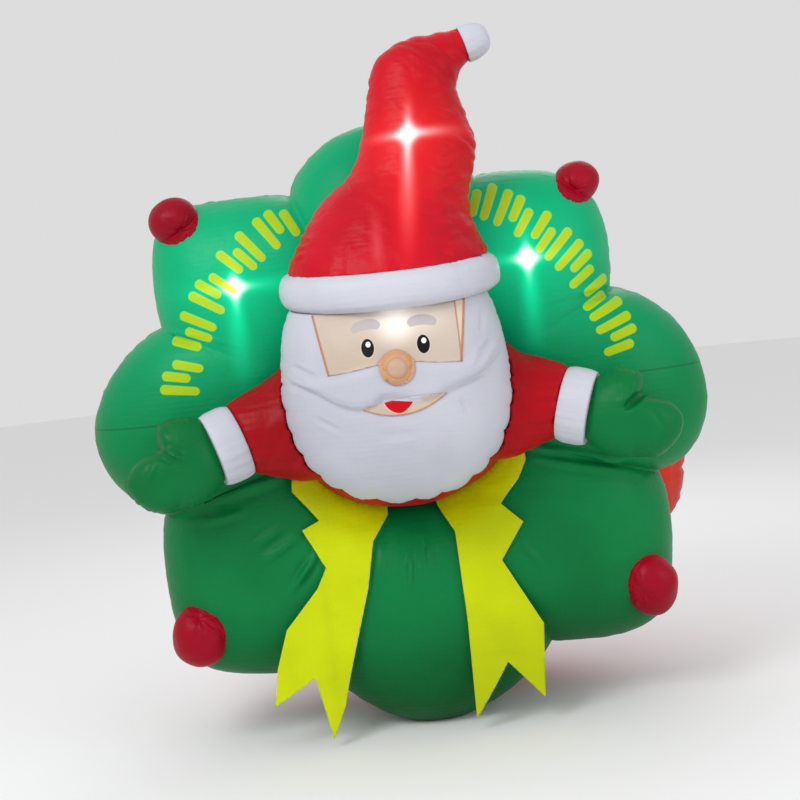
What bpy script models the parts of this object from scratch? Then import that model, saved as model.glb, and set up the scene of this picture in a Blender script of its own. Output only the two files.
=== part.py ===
# Inflatable Christmas wreath with a bearded gift-bringer leaning out of its middle.
# The wreath stands on its lowest lobe and on the figure's back, which swells behind it.
# Metres, +Z up. The front faces -Y. The origin is the middle of the wreath's foot, on the ground.

import math

import bmesh
import bpy
from mathutils import Matrix, Vector

# Driving sizes
WREATH_RADIUS = 0.60
HOLE_RADIUS = 0.20
WREATH_DEPTH = 0.35
FOOT_SINK = 0.014
HEAD_HEIGHT = 0.49
RIBBON_THICKNESS = 0.003
RIBBON_CLEARANCE = 0.022
GAP = 0.0004

# Wreath, in shares of its radius. Four square lobes fill the corners, and a round one swells from each
# side between them.
# Square lobes: (half width, half height, how square the corner is)
SQUARE_LOBES = {
    (1, 1): (0.820, 0.833, 6.6),
    (-1, 1): (0.875, 0.843, 9.0),
    (-1, -1): (0.962, 0.942, 8.0),
    (1, -1): (0.943, 0.940, 8.5),
}
# Round lobes: (first notch's degrees from +X, crease), (tip's degrees, reach), (last notch), roundness
ROUND_LOBES = {
    "right": ((-20.2, 0.34), (-4.0, 1.125), (24.2, 0.16), 2.2),
    "top": ((67.1, 0.20), (90.5, 1.052), (112.1, 0.22), 1.75),
    "left": ((155.2, 0.14), (178.6, 1.163), (197.6, 0.34), 1.5),
    "bottom": ((246.5, 0.12), (270.5, 1.190), (295.8, 0.12), 1.4),
}
TIP_ROUNDING = 0.22
WREATH_FULLNESS = 0.88
CREASE_WIDTH = 3.2
CREASE_FADE = 2.0
NOTCH_DIP = 0.09
STEPS_PER_HALF_LOBE = 4
WREATH_SECTION_STEPS = 14

# Berries: (x, z) from the wreath's centre in shares of its radius, then half width and half height
BERRIES = {
    "berry_top_left": (-0.753, 0.775, 0.0545, 0.0515),
    "berry_top_right": (0.712, 0.755, 0.050, 0.046),
    "berry_bottom_left": (-0.837, -0.730, 0.0595, 0.067),
    "berry_bottom_right": (0.820, -0.725, 0.056, 0.068),
}
BERRY_OUT = 0.052

# Figure. Its sizes are shares of the head's height, and its depths count from the wreath's front.
FIGURE_ASIDE = -0.024
HEAD_RISE = 0.122
HEAD_OUT = 0.153
HEAD_WIDTH = 0.96
HEAD_FRONT = 0.42
HEAD_BACK = 0.347
HEAD_FULLNESS = 0.86
CROWN_RISE = 0.50
CHIN_DROP = 0.48
CROWN_SQUARENESS = 4.0
CHIN_SQUARENESS = 2.15
HEAD_STEPS = 32
NOSE_RADIUS = 0.065
NOSE_RISE = 0.10
NOSE_SUNK = 0.65

# Skin panels in the head's front, from the head's middle: (x, z), right half
FACE_EDGE = ((0.071, 0.127), (0.261, 0.096), (0.310, 0.233), (0.310, 0.390))
FACE_DEPTH = 0.234
MOUTH_HALF_WIDTH = 0.169
MOUTH_RISE = -0.033
MOUTH_LOWER_BOW = 0.053
MOUTH_UPPER_BOW = 0.013
MOUTH_STEPS = 10

# Hat. The brim's rim runs from its lower seam to its upper one: (share of the height, of the width)
NOD = math.radians(7.5)
BRIM_ASIDE = 0.018
BRIM_RISE = 0.46
BRIM_WIDTH = 0.931
BRIM_LENGTH = 0.857
BRIM_HEIGHT = 0.15
BRIM_RIM = ((0.0, 0.935), (0.18, 0.985), (0.5, 1.0), (0.82, 0.97), (1.0, 0.90))
BRIM_STEPS = 28
# The hat's rings, from a point in the brim at this rise above the head's middle: (left edge's x, z,
# right edge's x, z)
HAT_RISE = 0.445
HAT_RINGS = (
    (-0.445, 0.000, 0.445, 0.000),
    (-0.422, 0.104, 0.427, 0.090),
    (-0.357, 0.224, 0.398, 0.182),
    (-0.255, 0.361, 0.376, 0.290),
    (-0.139, 0.453, 0.402, 0.414),
    (-0.076, 0.553, 0.437, 0.537),
    (-0.037, 0.673, 0.408, 0.665),
    (-0.002, 0.816, 0.378, 0.773),
    (0.045, 0.937, 0.392, 0.829),
    (0.159, 1.008, 0.412, 0.867),
    (0.288, 1.027, 0.429, 0.884),
    (0.400, 1.039, 0.443, 0.892),
)
HAT_LEAN_BACK = 0.10
HAT_DEPTH = 0.88
HAT_STEPS = 20
# The white tip's rings: (distance from its seam, share of the seam's width)
TIP_RINGS = ((0.0, 1.0), (0.045, 1.0), (0.09, 0.80), (0.116, 0.38))
TIP_STEPS = 12

# Coat: the chest, which the hole pinches, and two sleeves as (out, forward, up) from the wreath's centre
CHEST_OVER_HOLE = 0.045
CHEST_UNDER_HOLE = 0.014
CHEST_DROP = 0.041
CHEST_SUNK = 0.153
CHEST_FRONT = 0.388
CHEST_BACK = 0.47
CHEST_FULLNESS = 0.85
CHEST_STEPS = 22
SLEEVE_PATH = ((0.184, -0.010, 0.106), (0.446, 0.027, 0.004), (0.692, 0.108, -0.022))
SHOULDER_HEIGHT = 0.70
WRIST_HEIGHT = 0.306
SLEEVE_DEPTH = 0.92
SLEEVE_STEPS = 16
ARM_FORWARD = math.radians(17)
ARM_DOWN = math.radians(16)
CUFF_LENGTH = 0.127
# The cuff's rings: (share of its length, how proud it stands)
CUFF_RINGS = ((0.0, 0.0), (0.2, 0.008), (0.8, 0.008), (1.0, 0.0))

# Mittens: the outline round the palm, as (degrees from the arm's line, distance)
PALM_FROM_CUFF = 0.133
MITTEN_HALF_THICKNESS = 0.118
MITTEN_FULLNESS = 0.75
MITTEN_OUTLINE = (
    (-62, 0.184), (-40, 0.224), (-14, 0.248), (4, 0.254), (22, 0.216), (40, 0.155), (57, 0.122),
    (66, 0.152), (76, 0.190), (92, 0.196), (115, 0.194), (150, 0.200), (190, 0.194), (240, 0.180),
)

# Ribbons: the cloth's outline from the front, in shares of its length, as (x, distance below its top)
RIBBON_DROP = 0.06
RIBBON_STANDOFF = 0.003
RIBBON_STIFFNESS = 0.04
RIBBON_ROW = 0.050
RIBBON_COLUMN = 0.065
RIBBONS = {
    "ribbon_left": (
        (-0.411, 0.0), (-0.423, 0.129), (-0.379, 0.189), (-0.342, 0.242), (-0.403, 0.266),
        (-0.335, 0.403), (-0.371, 0.469), (-0.494, 0.602), (-0.542, 0.737), (-0.565, 0.868),
        (-0.415, 0.779), (-0.374, 1.0), (-0.324, 0.897), (-0.295, 0.794), (-0.197, 0.489),
        (-0.163, 0.335), (-0.103, 0.258), (-0.103, 0.129),
    ),
    "ribbon_right": (
        (0.394, 0.0), (0.397, 0.113), (0.363, 0.177), (0.294, 0.256), (0.363, 0.323), (0.274, 0.445),
        (0.394, 0.679), (0.373, 0.942), (0.256, 0.802), (0.127, 0.990), (0.132, 0.632), (0.124, 0.334),
        (0.069, 0.240), (0.069, 0.129),
    ),
}

# Back of the figure, in shares of the wreath's radius: the outline round its middle, as (degrees, distance)
BACK_ASIDE = 0.10
BACK_BEHIND = 0.16
BACK_FRONT = 0.40
BACK_DEPTH = 0.45
BACK_FULLNESS = 0.8
BACK_SINK = 0.015
BACK_OUTLINE = (
    (-106, 0.817), (-90, 0.825), (-72, 0.817), (-58, 0.717), (-30, 0.850), (-18, 0.910), (-10, 0.985),
    (5, 1.010), (22, 1.0), (42, 0.900), (66, 0.800), (90, 0.767), (134, 0.842), (158, 0.900),
    (180, 0.917), (202, 0.858), (224, 0.750), (240, 0.717),
)

COLOURS = {
    "green": (0.0, 0.30, 0.10, 1),
    "red": (0.55, 0.01, 0.02, 1),
    "white": (0.80, 0.82, 0.88, 1),
    "skin": (0.85, 0.62, 0.45, 1),
    "berry red": (0.38, 0.005, 0.02, 1),
    "yellow": (0.75, 0.75, 0.01, 1),
}
CLOTH_ROUGHNESS = 0.45


def start_scene():
    for obj in list(bpy.data.objects):
        bpy.data.objects.remove(obj)


def cloth(name):
    material = bpy.data.materials.get(name)
    if material is None:
        material = bpy.data.materials.new(name)
        material.use_nodes = True
        shader = material.node_tree.nodes["Principled BSDF"]
        shader.inputs["Base Color"].default_value = COLOURS[name]
        shader.inputs["Roughness"].default_value = CLOTH_ROUGHNESS
        shader.inputs["Metallic"].default_value = 0.0
    return material


def add_piece(name, bm, colour, parent):
    """Makes a closed mesh the named piece, with its faces pointing out."""
    bmesh.ops.remove_doubles(bm, verts=bm.verts, dist=1e-6)
    bmesh.ops.triangulate(bm, faces=bm.faces)
    bmesh.ops.recalc_face_normals(bm, faces=bm.faces)
    mesh = bpy.data.meshes.new(name)
    bm.to_mesh(mesh)
    bm.free()
    mesh.shade_smooth()
    mesh.materials.append(cloth(colour))
    obj = bpy.data.objects.new(name, mesh)
    bpy.context.scene.collection.objects.link(obj)
    obj.parent = parent
    return obj


def make_helper(obj):
    obj.hide_render = True
    obj.display_type = "WIRE"
    return obj


def grown(obj):
    """A hidden cutter: the finished piece, with its skin moved out by the gap."""
    bpy.context.view_layer.update()
    graph = bpy.context.evaluated_depsgraph_get()
    mesh = bpy.data.meshes.new_from_object(obj.evaluated_get(graph))
    bm = bmesh.new()
    bm.from_mesh(mesh)
    bm.normal_update()
    for vertex in bm.verts:
        vertex.co += vertex.normal * GAP
    bm.to_mesh(mesh)
    bm.free()
    cutter = bpy.data.objects.new(obj.name + "_room", mesh)
    bpy.context.scene.collection.objects.link(cutter)
    cutter.parent = obj.parent
    return make_helper(cutter)


def boolean(obj, other, operation):
    modifier = obj.modifiers.new(operation.lower() + " " + other.name, "BOOLEAN")
    modifier.operation = operation
    modifier.object = other


def make_room(obj, *rooms):
    """Presses a soft piece against its neighbours, each given as its grown copy."""
    for room in rooms:
        boolean(obj, room, "DIFFERENCE")


def cut_flat(bm, point, normal):
    """Cuts away what lies beyond the plane, and closes the cut with one flat face."""
    cut = bmesh.ops.bisect_plane(
        bm, geom=bm.verts[:] + bm.edges[:] + bm.faces[:], plane_co=point, plane_no=normal, clear_outer=True
    )
    edges = [item for item in cut["geom_cut"] if isinstance(item, bmesh.types.BMEdge)]
    bmesh.ops.contextual_create(bm, geom=edges)


def skin_between(bm, sections, closed=False):
    """Joins rings of points with bands of faces. A closed run also joins its last ring to its first."""
    loops = [[bm.verts.new(point) for point in section] for section in sections]
    pairs = list(zip(loops, loops[1:]))
    if closed:
        pairs.append((loops[-1], loops[0]))
    for one, other in pairs:
        for i in range(len(one)):
            j = (i + 1) % len(one)
            bm.faces.new((one[i], one[j], other[j], other[i]))
    return loops


def loft(sections):
    """A tube through rings of points, with flat ends."""
    bm = bmesh.new()
    loops = skin_between(bm, sections)
    bm.faces.new(loops[0])
    bm.faces.new(loops[-1])
    return bm


def bag(outline, front, back, rings, fullness, frame):
    """Two cloth panels blown up: a seam on the outline's points, bulging out in front and behind."""
    bm = bmesh.new()
    sections = []
    for ring in range(1, rings):
        slope = math.pi * ring / rings
        spread = math.sin(slope) ** fullness
        depth = -math.cos(slope) * (front if slope < math.pi / 2 else back)
        sections.append([frame @ Vector((across * spread, depth, up * spread)) for across, up in outline])
    loops = skin_between(bm, sections)
    for loop, depth in ((loops[0], -front), (loops[-1], back)):
        pole = bm.verts.new(frame @ Vector((0, depth, 0)))
        for one, other in zip(loop, loop[1:] + loop[:1]):
            bm.faces.new((one, other, pole))
    return bm


def turns(steps):
    return [math.tau * step / steps for step in range(steps)]


def round_outline(half_width, half_height, steps):
    return [(half_width * math.cos(turn), half_height * math.sin(turn)) for turn in turns(steps)]


def through(points, place):
    """The value at a place of a smooth curve through (place, value) points."""
    last = len(points) - 2
    index = min(last, max(0, sum(1 for point in points if point[0] <= place) - 1))
    (start, v1), (end, v2) = points[index], points[index + 1]
    before, v0 = points[index - 1] if index > 0 else points[index]
    after, v3 = points[index + 2] if index < last else points[index + 1]
    span = end - start
    share = (place - start) / span
    slope_in = (v2 - v0) / (end - before) * span
    slope_out = (v3 - v1) / (after - start) * span
    s2, s3 = share**2, share**3
    rise = (s3 - 2 * s2 + share) * slope_in + (s3 - s2) * slope_out
    return (2 * s3 - 3 * s2 + 1) * v1 + rise + (3 * s2 - 2 * s3) * v2


def polar_outline(points, scale, steps):
    """A smooth closed outline through (degrees, distance) points, with steps between each two."""
    around = [(place - 360, far) for place, far in points[-2:]] + list(points)
    around += [(place + 360, far) for place, far in points[:2]]
    outline = []
    for (start, _), (end, _) in zip(around[2:-2], around[3:-1]):
        for step in range(steps):
            place = start + (end - start) * step / steps
            far = through(around, place) * scale
            outline.append((far * math.cos(math.radians(place)), far * math.sin(math.radians(place))))
    return outline


def wreath_height():
    """Height of the wreath's centre, so that the lowest lobe is pressed flat on the ground."""
    return WREATH_RADIUS * ROUND_LOBES["bottom"][1][1] - FOOT_SINK


def wreath_front_plane():
    return -WREATH_DEPTH / 2


def square_reach(degrees):
    across, up = math.cos(math.radians(degrees)), math.sin(math.radians(degrees))
    half_width, half_height, squareness = SQUARE_LOBES[(1 if across >= 0 else -1, 1 if up >= 0 else -1)]
    spread = (abs(across) / half_width) ** squareness + (abs(up) / half_height) ** squareness
    return spread ** (-1 / squareness)


def swell(share, roundness):
    """How far a round lobe has risen from notch to tip, with the tip itself rounded off."""
    left = (1 - share) ** 2 + TIP_ROUNDING**2
    whole = (1 + TIP_ROUNDING**2) ** (roundness / 2) - TIP_ROUNDING**roundness
    return 1 - (left ** (roundness / 2) - TIP_ROUNDING**roundness) / whole


def crease_at(degrees):
    """The depth of the crease here: full on a notch's seam, and soon nothing away from it."""
    depth = 0
    for first, _, last, _ in ROUND_LOBES.values():
        for notch, crease in (first, last):
            away = abs((degrees - notch + 180) % 360 - 180)
            depth = max(depth, crease * math.exp(-away / CREASE_WIDTH))
    return depth


def wreath_reach(degrees):
    """Distance of the wreath's outer seam from its centre."""
    reach = square_reach(degrees)
    for (first, _), (tip, top), (last, _), roundness in ROUND_LOBES.values():
        into = (degrees - first) % 360
        if into <= last - first:
            notch, run = (first, tip - first) if into <= tip - first else (last, tip - last)
            share = ((degrees - notch + 180) % 360 - 180) / run
            reach = square_reach(notch) + (top - square_reach(notch)) * swell(share, roundness)
    return WREATH_RADIUS * reach * (1 - NOTCH_DIP * crease_at(degrees))


def wreath_band(degrees):
    """Middle and half width of the wreath's cushion, from the hole to the outer seam."""
    reach = wreath_reach(degrees)
    return (reach + HOLE_RADIUS) / 2, (reach - HOLE_RADIUS) / 2


def wreath_point(degrees, turn):
    """A point of the wreath's skin: turn is 0 on the outer seam and half a turn on the inner one."""
    angle = math.radians(degrees)
    middle, half = wreath_band(degrees)
    across, out = math.cos(turn), math.sin(turn)
    distance = middle + half * math.copysign(abs(across) ** WREATH_FULLNESS, across)
    crease = crease_at(degrees) * ((1 + across) / 2) ** CREASE_FADE
    depth = wreath_front_plane() * (1 - crease) * math.copysign(abs(out) ** WREATH_FULLNESS, out)
    return Vector((distance * math.cos(angle), depth, wreath_height() + distance * math.sin(angle)))


def wreath_front(x, z):
    """How far back the wreath's front skin lies at a place seen from the front."""
    rise = z - wreath_height()
    degrees = math.degrees(math.atan2(rise, x))
    middle, half = wreath_band(degrees)
    share = max(-1, min(1, (math.hypot(x, rise) - middle) / half))
    across = math.copysign(abs(share) ** (1 / WREATH_FULLNESS), share)
    return wreath_point(degrees, math.acos(across)).y


def wreath_stations():
    """The directions of the wreath's rings: evenly between each lobe's notches and its tip."""
    stops = []
    for (first, _), (tip, _), (last, _), _ in ROUND_LOBES.values():
        corner = math.radians((last // 90) * 90 + 45)
        half_width, half_height, _ = SQUARE_LOBES[
            (1 if math.cos(corner) > 0 else -1, 1 if math.sin(corner) > 0 else -1)
        ]
        aim = math.atan2(math.sin(corner) * half_height, math.cos(corner) * half_width)
        stops += [first, tip, last, math.degrees(aim) % 360]
    stops.append(stops[0] + 360)
    stations = []
    for start, end in zip(stops, stops[1:]):
        stations += [start + (end - start) * step / STEPS_PER_HALF_LOBE for step in range(STEPS_PER_HALF_LOBE)]
    return stations


def make_wreath(root):
    bm = bmesh.new()
    sections = [
        [wreath_point(degrees, turn) for turn in turns(WREATH_SECTION_STEPS)] for degrees in wreath_stations()
    ]
    skin_between(bm, sections, closed=True)
    cut_flat(bm, (0, 0, 0), (0, 0, -1))
    return add_piece("wreath", bm, "green", root)


def make_berry(name, root, wreath_room):
    x_share, z_share, half_width, half_height = BERRIES[name]
    x, z = x_share * WREATH_RADIUS, wreath_height() + z_share * WREATH_RADIUS
    frame = Matrix.Translation((x, wreath_front(x, z), z))
    shape = bag(round_outline(half_width, half_height, 12), BERRY_OUT, BERRY_OUT, 7, 1, frame)
    make_room(add_piece(name, shape, "berry red", root), wreath_room)


def figure_point(out, forward, up):
    """A place of the figure, from the wreath's centre and front, in shares of the head's height."""
    start = Vector((FIGURE_ASIDE * HEAD_HEIGHT, wreath_front_plane(), wreath_height()))
    return start + Vector((out, -forward, up)) * HEAD_HEIGHT


def head_centre():
    return figure_point(0, HEAD_OUT, HEAD_RISE)


def head_outline():
    """A square crown and a rounder chin."""
    outline = []
    for angle in turns(HEAD_STEPS):
        across, up = math.cos(angle), math.sin(angle)
        power = CHIN_SQUARENESS + (CROWN_SQUARENESS - CHIN_SQUARENESS) * max(0, up)
        rise = CROWN_RISE if up > 0 else CHIN_DROP
        reach = (abs(across) / (HEAD_WIDTH / 2)) ** power + (abs(up) / rise) ** power
        scale = HEAD_HEIGHT * reach ** (-1 / power)
        outline.append((across * scale, up * scale))
    return outline


def brim_centre():
    return figure_point(BRIM_ASIDE, HEAD_OUT, HEAD_RISE + BRIM_RISE)


def brim_normal():
    return Vector((0, -math.sin(NOD), math.cos(NOD)))


def brim_half_height():
    return BRIM_HEIGHT * HEAD_HEIGHT / 2


def make_head(root, wreath_room):
    frame = Matrix.Translation(head_centre())
    bm = bag(head_outline(), HEAD_FRONT * HEAD_HEIGHT, HEAD_BACK * HEAD_HEIGHT, 11, HEAD_FULLNESS, frame)
    cut_flat(bm, brim_centre() - brim_normal() * (brim_half_height() + GAP), brim_normal())
    head = add_piece("head", bm, "white", root)
    make_room(head, wreath_room)
    return head


def set_panel(name, outline, head, root):
    """A skin panel let into the head: it fills the hole that its own outline cuts."""
    centre = head_centre()
    depths = (centre.y - 2 * HEAD_FRONT * HEAD_HEIGHT, centre.y - (HEAD_FRONT - FACE_DEPTH) * HEAD_HEIGHT)
    rings = [[(centre.x + x * HEAD_HEIGHT, y, centre.z + z * HEAD_HEIGHT) for x, z in outline] for y in depths]
    block = make_helper(add_piece(name + "_block", loft(rings), "skin", root))
    bm = bmesh.new()
    bm.from_mesh(head.data)
    boolean(add_piece(name, bm, "skin", root), block, "INTERSECT")
    return block


def face_outline():
    return FACE_EDGE + tuple((-x, z) for x, z in FACE_EDGE[::-1])


def mouth_outline():
    """A smile: a shallow bow above and a deeper one below."""
    lower, upper = [], []
    for step in range(MOUTH_STEPS + 1):
        across = math.cos(math.pi * step / MOUTH_STEPS)
        bow = 1 - across**2
        lower.append((MOUTH_HALF_WIDTH * across, MOUTH_RISE - MOUTH_LOWER_BOW * bow))
        upper.append((MOUTH_HALF_WIDTH * across, MOUTH_RISE + MOUTH_UPPER_BOW * bow))
    return lower + upper[-2:0:-1]


def make_face(root, head):
    head_room = grown(head)
    face_block = set_panel("face_panel", face_outline(), head, root)
    mouth_block = set_panel("mouth_panel", mouth_outline(), head, root)
    make_room(head, grown(face_block), grown(mouth_block))
    radius = NOSE_RADIUS * HEAD_HEIGHT
    rise = Vector((0, -HEAD_FRONT * HEAD_HEIGHT + radius * (1 - NOSE_SUNK), NOSE_RISE * HEAD_HEIGHT))
    shape = bag(round_outline(radius, radius, 12), radius, radius, 7, 1, Matrix.Translation(head_centre() + rise))
    make_room(add_piece("nose", shape, "skin", root), head_room)
    return head_room


def make_brim(root, wreath_room):
    """A stuffed band round the head, nodding forward with it."""
    frame = Matrix.Translation(brim_centre()) @ Matrix.Rotation(NOD, 4, "X")
    half_width, half_length = BRIM_WIDTH * HEAD_HEIGHT / 2, BRIM_LENGTH * HEAD_HEIGHT / 2
    sections = []
    for height, share in BRIM_RIM:
        up = brim_half_height() * (2 * height - 1)
        edge = round_outline(half_width * share, half_length * share, BRIM_STEPS)
        sections.append([frame @ Vector((across, along, up)) for across, along in edge])
    make_room(add_piece("hat_brim", loft(sections), "white", root), wreath_room)


def hat_ring(left_x, left_z, right_x, right_z):
    """A hat ring's middle, its sideways half and the depth it reaches forwards and back."""
    start = figure_point(BRIM_ASIDE, HEAD_OUT, HEAD_RISE + HAT_RISE)
    back = HAT_LEAN_BACK * left_z
    left = start + Vector((left_x, back, left_z)) * HEAD_HEIGHT
    right = start + Vector((right_x, back, right_z)) * HEAD_HEIGHT
    half = (right - left) / 2
    return (left + right) / 2, half, half.length * HAT_DEPTH


def oval(centre, side, depth, steps):
    return [centre + side * math.cos(turn) + Vector((0, depth * math.sin(turn), 0)) for turn in turns(steps)]


def make_hat(root, wreath_room):
    bm = loft([oval(*hat_ring(*ring), HAT_STEPS) for ring in HAT_RINGS])
    cut_flat(bm, brim_centre() + brim_normal() * (brim_half_height() + GAP), -brim_normal())
    make_room(add_piece("hat", bm, "red", root), wreath_room)
    centre, half, depth = hat_ring(*HAT_RINGS[-1])
    along = half.cross(Vector((0, 1, 0))).normalized()
    sections = []
    for out, share in TIP_RINGS:
        middle = centre + along * (GAP + out * HEAD_HEIGHT)
        sections.append(oval(middle, half * share, depth * share, TIP_STEPS))
    add_piece("hat_tip", loft(sections), "white", root)


def arm_frame(side):
    """Directions along the arm, through the palm away from the viewer, and up across it."""
    level = math.cos(ARM_DOWN)
    along = Vector((side * math.cos(ARM_FORWARD) * level, -math.sin(ARM_FORWARD) * level, -math.sin(ARM_DOWN)))
    away = Vector((0, 1, 0)) - along * along.y
    away.normalize()
    return along, away, along.cross(away) * side


def arm_ring(centre, along, half_height, side):
    up = arm_frame(side)[2]
    up = (up - along * up.dot(along)).normalized() * half_height
    away = along.cross(up) * SLEEVE_DEPTH
    return [centre + up * math.cos(turn) + away * math.sin(turn) for turn in turns(SLEEVE_STEPS)]


def wrist(side):
    out, forward, up = SLEEVE_PATH[-1]
    return figure_point(side * out, forward, up)


def make_sleeve(side, name, root):
    points = [figure_point(side * out, forward, up) for out, forward, up in SLEEVE_PATH]
    directions = [points[1] - points[0], points[2] - points[0], arm_frame(side)[0]]
    sections = []
    for index, (point, direction) in enumerate(zip(points, directions)):
        share = index / (len(points) - 1)
        height = SHOULDER_HEIGHT + (WRIST_HEIGHT - SHOULDER_HEIGHT) * share
        sections.append(arm_ring(point, direction.normalized(), height * HEAD_HEIGHT / 2, side))
    return make_helper(add_piece(name, loft(sections), "red", root))


def make_coat(root, wreath_room, head_room):
    centre = figure_point(0, -CHEST_SUNK, -CHEST_DROP)
    outline = round_outline(HOLE_RADIUS + CHEST_OVER_HOLE, HOLE_RADIUS - CHEST_UNDER_HOLE, CHEST_STEPS)
    front, back = CHEST_FRONT * HEAD_HEIGHT, CHEST_BACK * HEAD_HEIGHT
    coat = add_piece("coat", bag(outline, front, back, 8, CHEST_FULLNESS, Matrix.Translation(centre)), "red", root)
    for side, name in ((-1, "sleeve_left"), (1, "sleeve_right")):
        boolean(coat, make_sleeve(side, name, root), "UNION")
    make_room(coat, wreath_room, head_room)
    return coat


def make_hand(side, word, root, wreath_room):
    """A cuff at the wrist and a mitten beyond it."""
    along, away, up = arm_frame(side)
    sections = []
    for share, proud in CUFF_RINGS:
        middle = wrist(side) + along * (GAP + CUFF_LENGTH * HEAD_HEIGHT * share)
        sections.append(arm_ring(middle, along, (WRIST_HEIGHT / 2 + proud) * HEAD_HEIGHT, side))
    make_room(add_piece("cuff_" + word, loft(sections), "white", root), wreath_room)
    cuff_end = wrist(side) + along * (CUFF_LENGTH * HEAD_HEIGHT + 2 * GAP)
    frame = Matrix((along, away, up)).transposed().to_4x4()
    frame.translation = cuff_end + along * PALM_FROM_CUFF * HEAD_HEIGHT
    half = MITTEN_HALF_THICKNESS * HEAD_HEIGHT
    bm = bag(polar_outline(MITTEN_OUTLINE, HEAD_HEIGHT, 2), half, half, 8, MITTEN_FULLNESS, frame)
    cut_flat(bm, cuff_end, -along)
    make_room(add_piece("mitten_" + word, bm, "green", root), wreath_room)


def make_back(root, wreath_room, coat_room):
    lowest = dict(BACK_OUTLINE)[-90] * WREATH_RADIUS
    place = (BACK_ASIDE * WREATH_RADIUS, WREATH_DEPTH / 2 + BACK_BEHIND * WREATH_RADIUS, lowest - BACK_SINK)
    outline = polar_outline(BACK_OUTLINE, WREATH_RADIUS, 1)
    front, back = BACK_FRONT * WREATH_RADIUS, BACK_DEPTH * WREATH_RADIUS
    bm = bag(outline, front, back, 9, BACK_FULLNESS, Matrix.Translation(place))
    cut_flat(bm, (0, 0, 0), (0, 0, -1))
    make_room(add_piece("figure_back", bm, "red", root), wreath_room, coat_room)


def hang(x, z, top):
    """Where the cloth hangs: on the wreath's skin, then straight down from its fullest point."""
    heights = [z + (top - z) * step / 30 for step in range(31)]
    sides = [x + RIBBON_STIFFNESS * step / 4 for step in range(-4, 5)]
    return min(wreath_front(side, height) for height in heights for side in sides) - RIBBON_STANDOFF


def slice_at(bm, point, normal):
    bmesh.ops.bisect_plane(bm, geom=bm.verts[:] + bm.edges[:] + bm.faces[:], plane_co=point, plane_no=normal)


def make_ribbon(name, root, coat_room):
    top = wreath_height() - RIBBON_DROP
    length = top - RIBBON_CLEARANCE
    outline = [(x * length, top - below * length) for x, below in RIBBONS[name]]
    bm = bmesh.new()
    bm.faces.new([bm.verts.new((x, 0, z)) for x, z in outline])
    for row in range(1, int(length / RIBBON_ROW)):
        slice_at(bm, (0, 0, top - row * RIBBON_ROW), (0, 0, 1))
    columns = int(length / RIBBON_COLUMN)
    for column in range(-columns, columns):
        slice_at(bm, (column * RIBBON_COLUMN, 0, 0), (1, 0, 0))
    for vertex in bm.verts:
        vertex.co.y = hang(vertex.co.x, vertex.co.z, top)
    bm.normal_update()
    if sum(face.normal.y * face.calc_area() for face in bm.faces) > 0:
        bmesh.ops.reverse_faces(bm, faces=bm.faces)
    shell = bmesh.ops.extrude_face_region(bm, geom=bm.faces[:])
    moved = [item for item in shell["geom"] if isinstance(item, bmesh.types.BMVert)]
    bmesh.ops.translate(bm, verts=moved, vec=(0, -RIBBON_THICKNESS, 0))
    make_room(add_piece(name, bm, "yellow", root), coat_room)


def main():
    start_scene()
    root = bpy.data.objects.new("ground_point", None)
    bpy.context.scene.collection.objects.link(root)
    wreath_room = grown(make_wreath(root))
    for name in BERRIES:
        make_berry(name, root, wreath_room)
    head = make_head(root, wreath_room)
    head_room = make_face(root, head)
    make_brim(root, wreath_room)
    make_hat(root, wreath_room)
    coat_room = grown(make_coat(root, wreath_room, head_room))
    for side, word in ((-1, "left"), (1, "right")):
        make_hand(side, word, root, wreath_room)
    make_back(root, wreath_room, coat_room)
    for name in RIBBONS:
        make_ribbon(name, root, coat_room)


main()
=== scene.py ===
import math

import bmesh
import bpy
from mathutils import Matrix, Vector, noise
from mathutils.bvhtree import BVHTree


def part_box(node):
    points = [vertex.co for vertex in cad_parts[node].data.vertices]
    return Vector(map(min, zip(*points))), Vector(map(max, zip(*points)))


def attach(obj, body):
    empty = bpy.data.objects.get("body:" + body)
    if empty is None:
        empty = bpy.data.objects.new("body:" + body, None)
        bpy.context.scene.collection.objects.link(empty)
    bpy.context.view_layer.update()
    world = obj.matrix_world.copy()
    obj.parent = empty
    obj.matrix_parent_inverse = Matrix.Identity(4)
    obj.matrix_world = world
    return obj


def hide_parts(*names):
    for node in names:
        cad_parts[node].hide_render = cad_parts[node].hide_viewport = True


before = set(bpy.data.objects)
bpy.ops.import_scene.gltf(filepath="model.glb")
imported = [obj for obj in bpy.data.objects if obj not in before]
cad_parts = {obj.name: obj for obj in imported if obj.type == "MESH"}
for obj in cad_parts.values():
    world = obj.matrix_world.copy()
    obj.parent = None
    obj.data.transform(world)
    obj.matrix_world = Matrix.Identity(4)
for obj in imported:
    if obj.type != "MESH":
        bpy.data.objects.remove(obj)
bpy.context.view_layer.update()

# inflatable wreath with a bearded figure leaning out of it, all thin nylon blown up from inside
# metres, Z up, front towards -Y


# camera, lights and floor

view = {"target": (-0.009, 0.0, 0.718), "distance": 3.2, "up": 4.0, "roll": 6.5, "lens": 64.0, "film": 36.0}
stage = {
    # place, size and power of each lamp
    "lamps": {"key": ((-1.7, -2.6, 3.0), 1.8, 62.0), "fill": ((2.6, -2.4, 1.6), 2.4, 22.0),
              "rim": ((0.6, 2.6, 2.6), 2.0, 16.0)},
    "aim": (0, 0, 0.7), "world": 0.72,
    "floorRadius": 14, "floor": (0.90, 0.90, 0.91, 1), "floorRoughness": 0.9,
}


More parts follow.
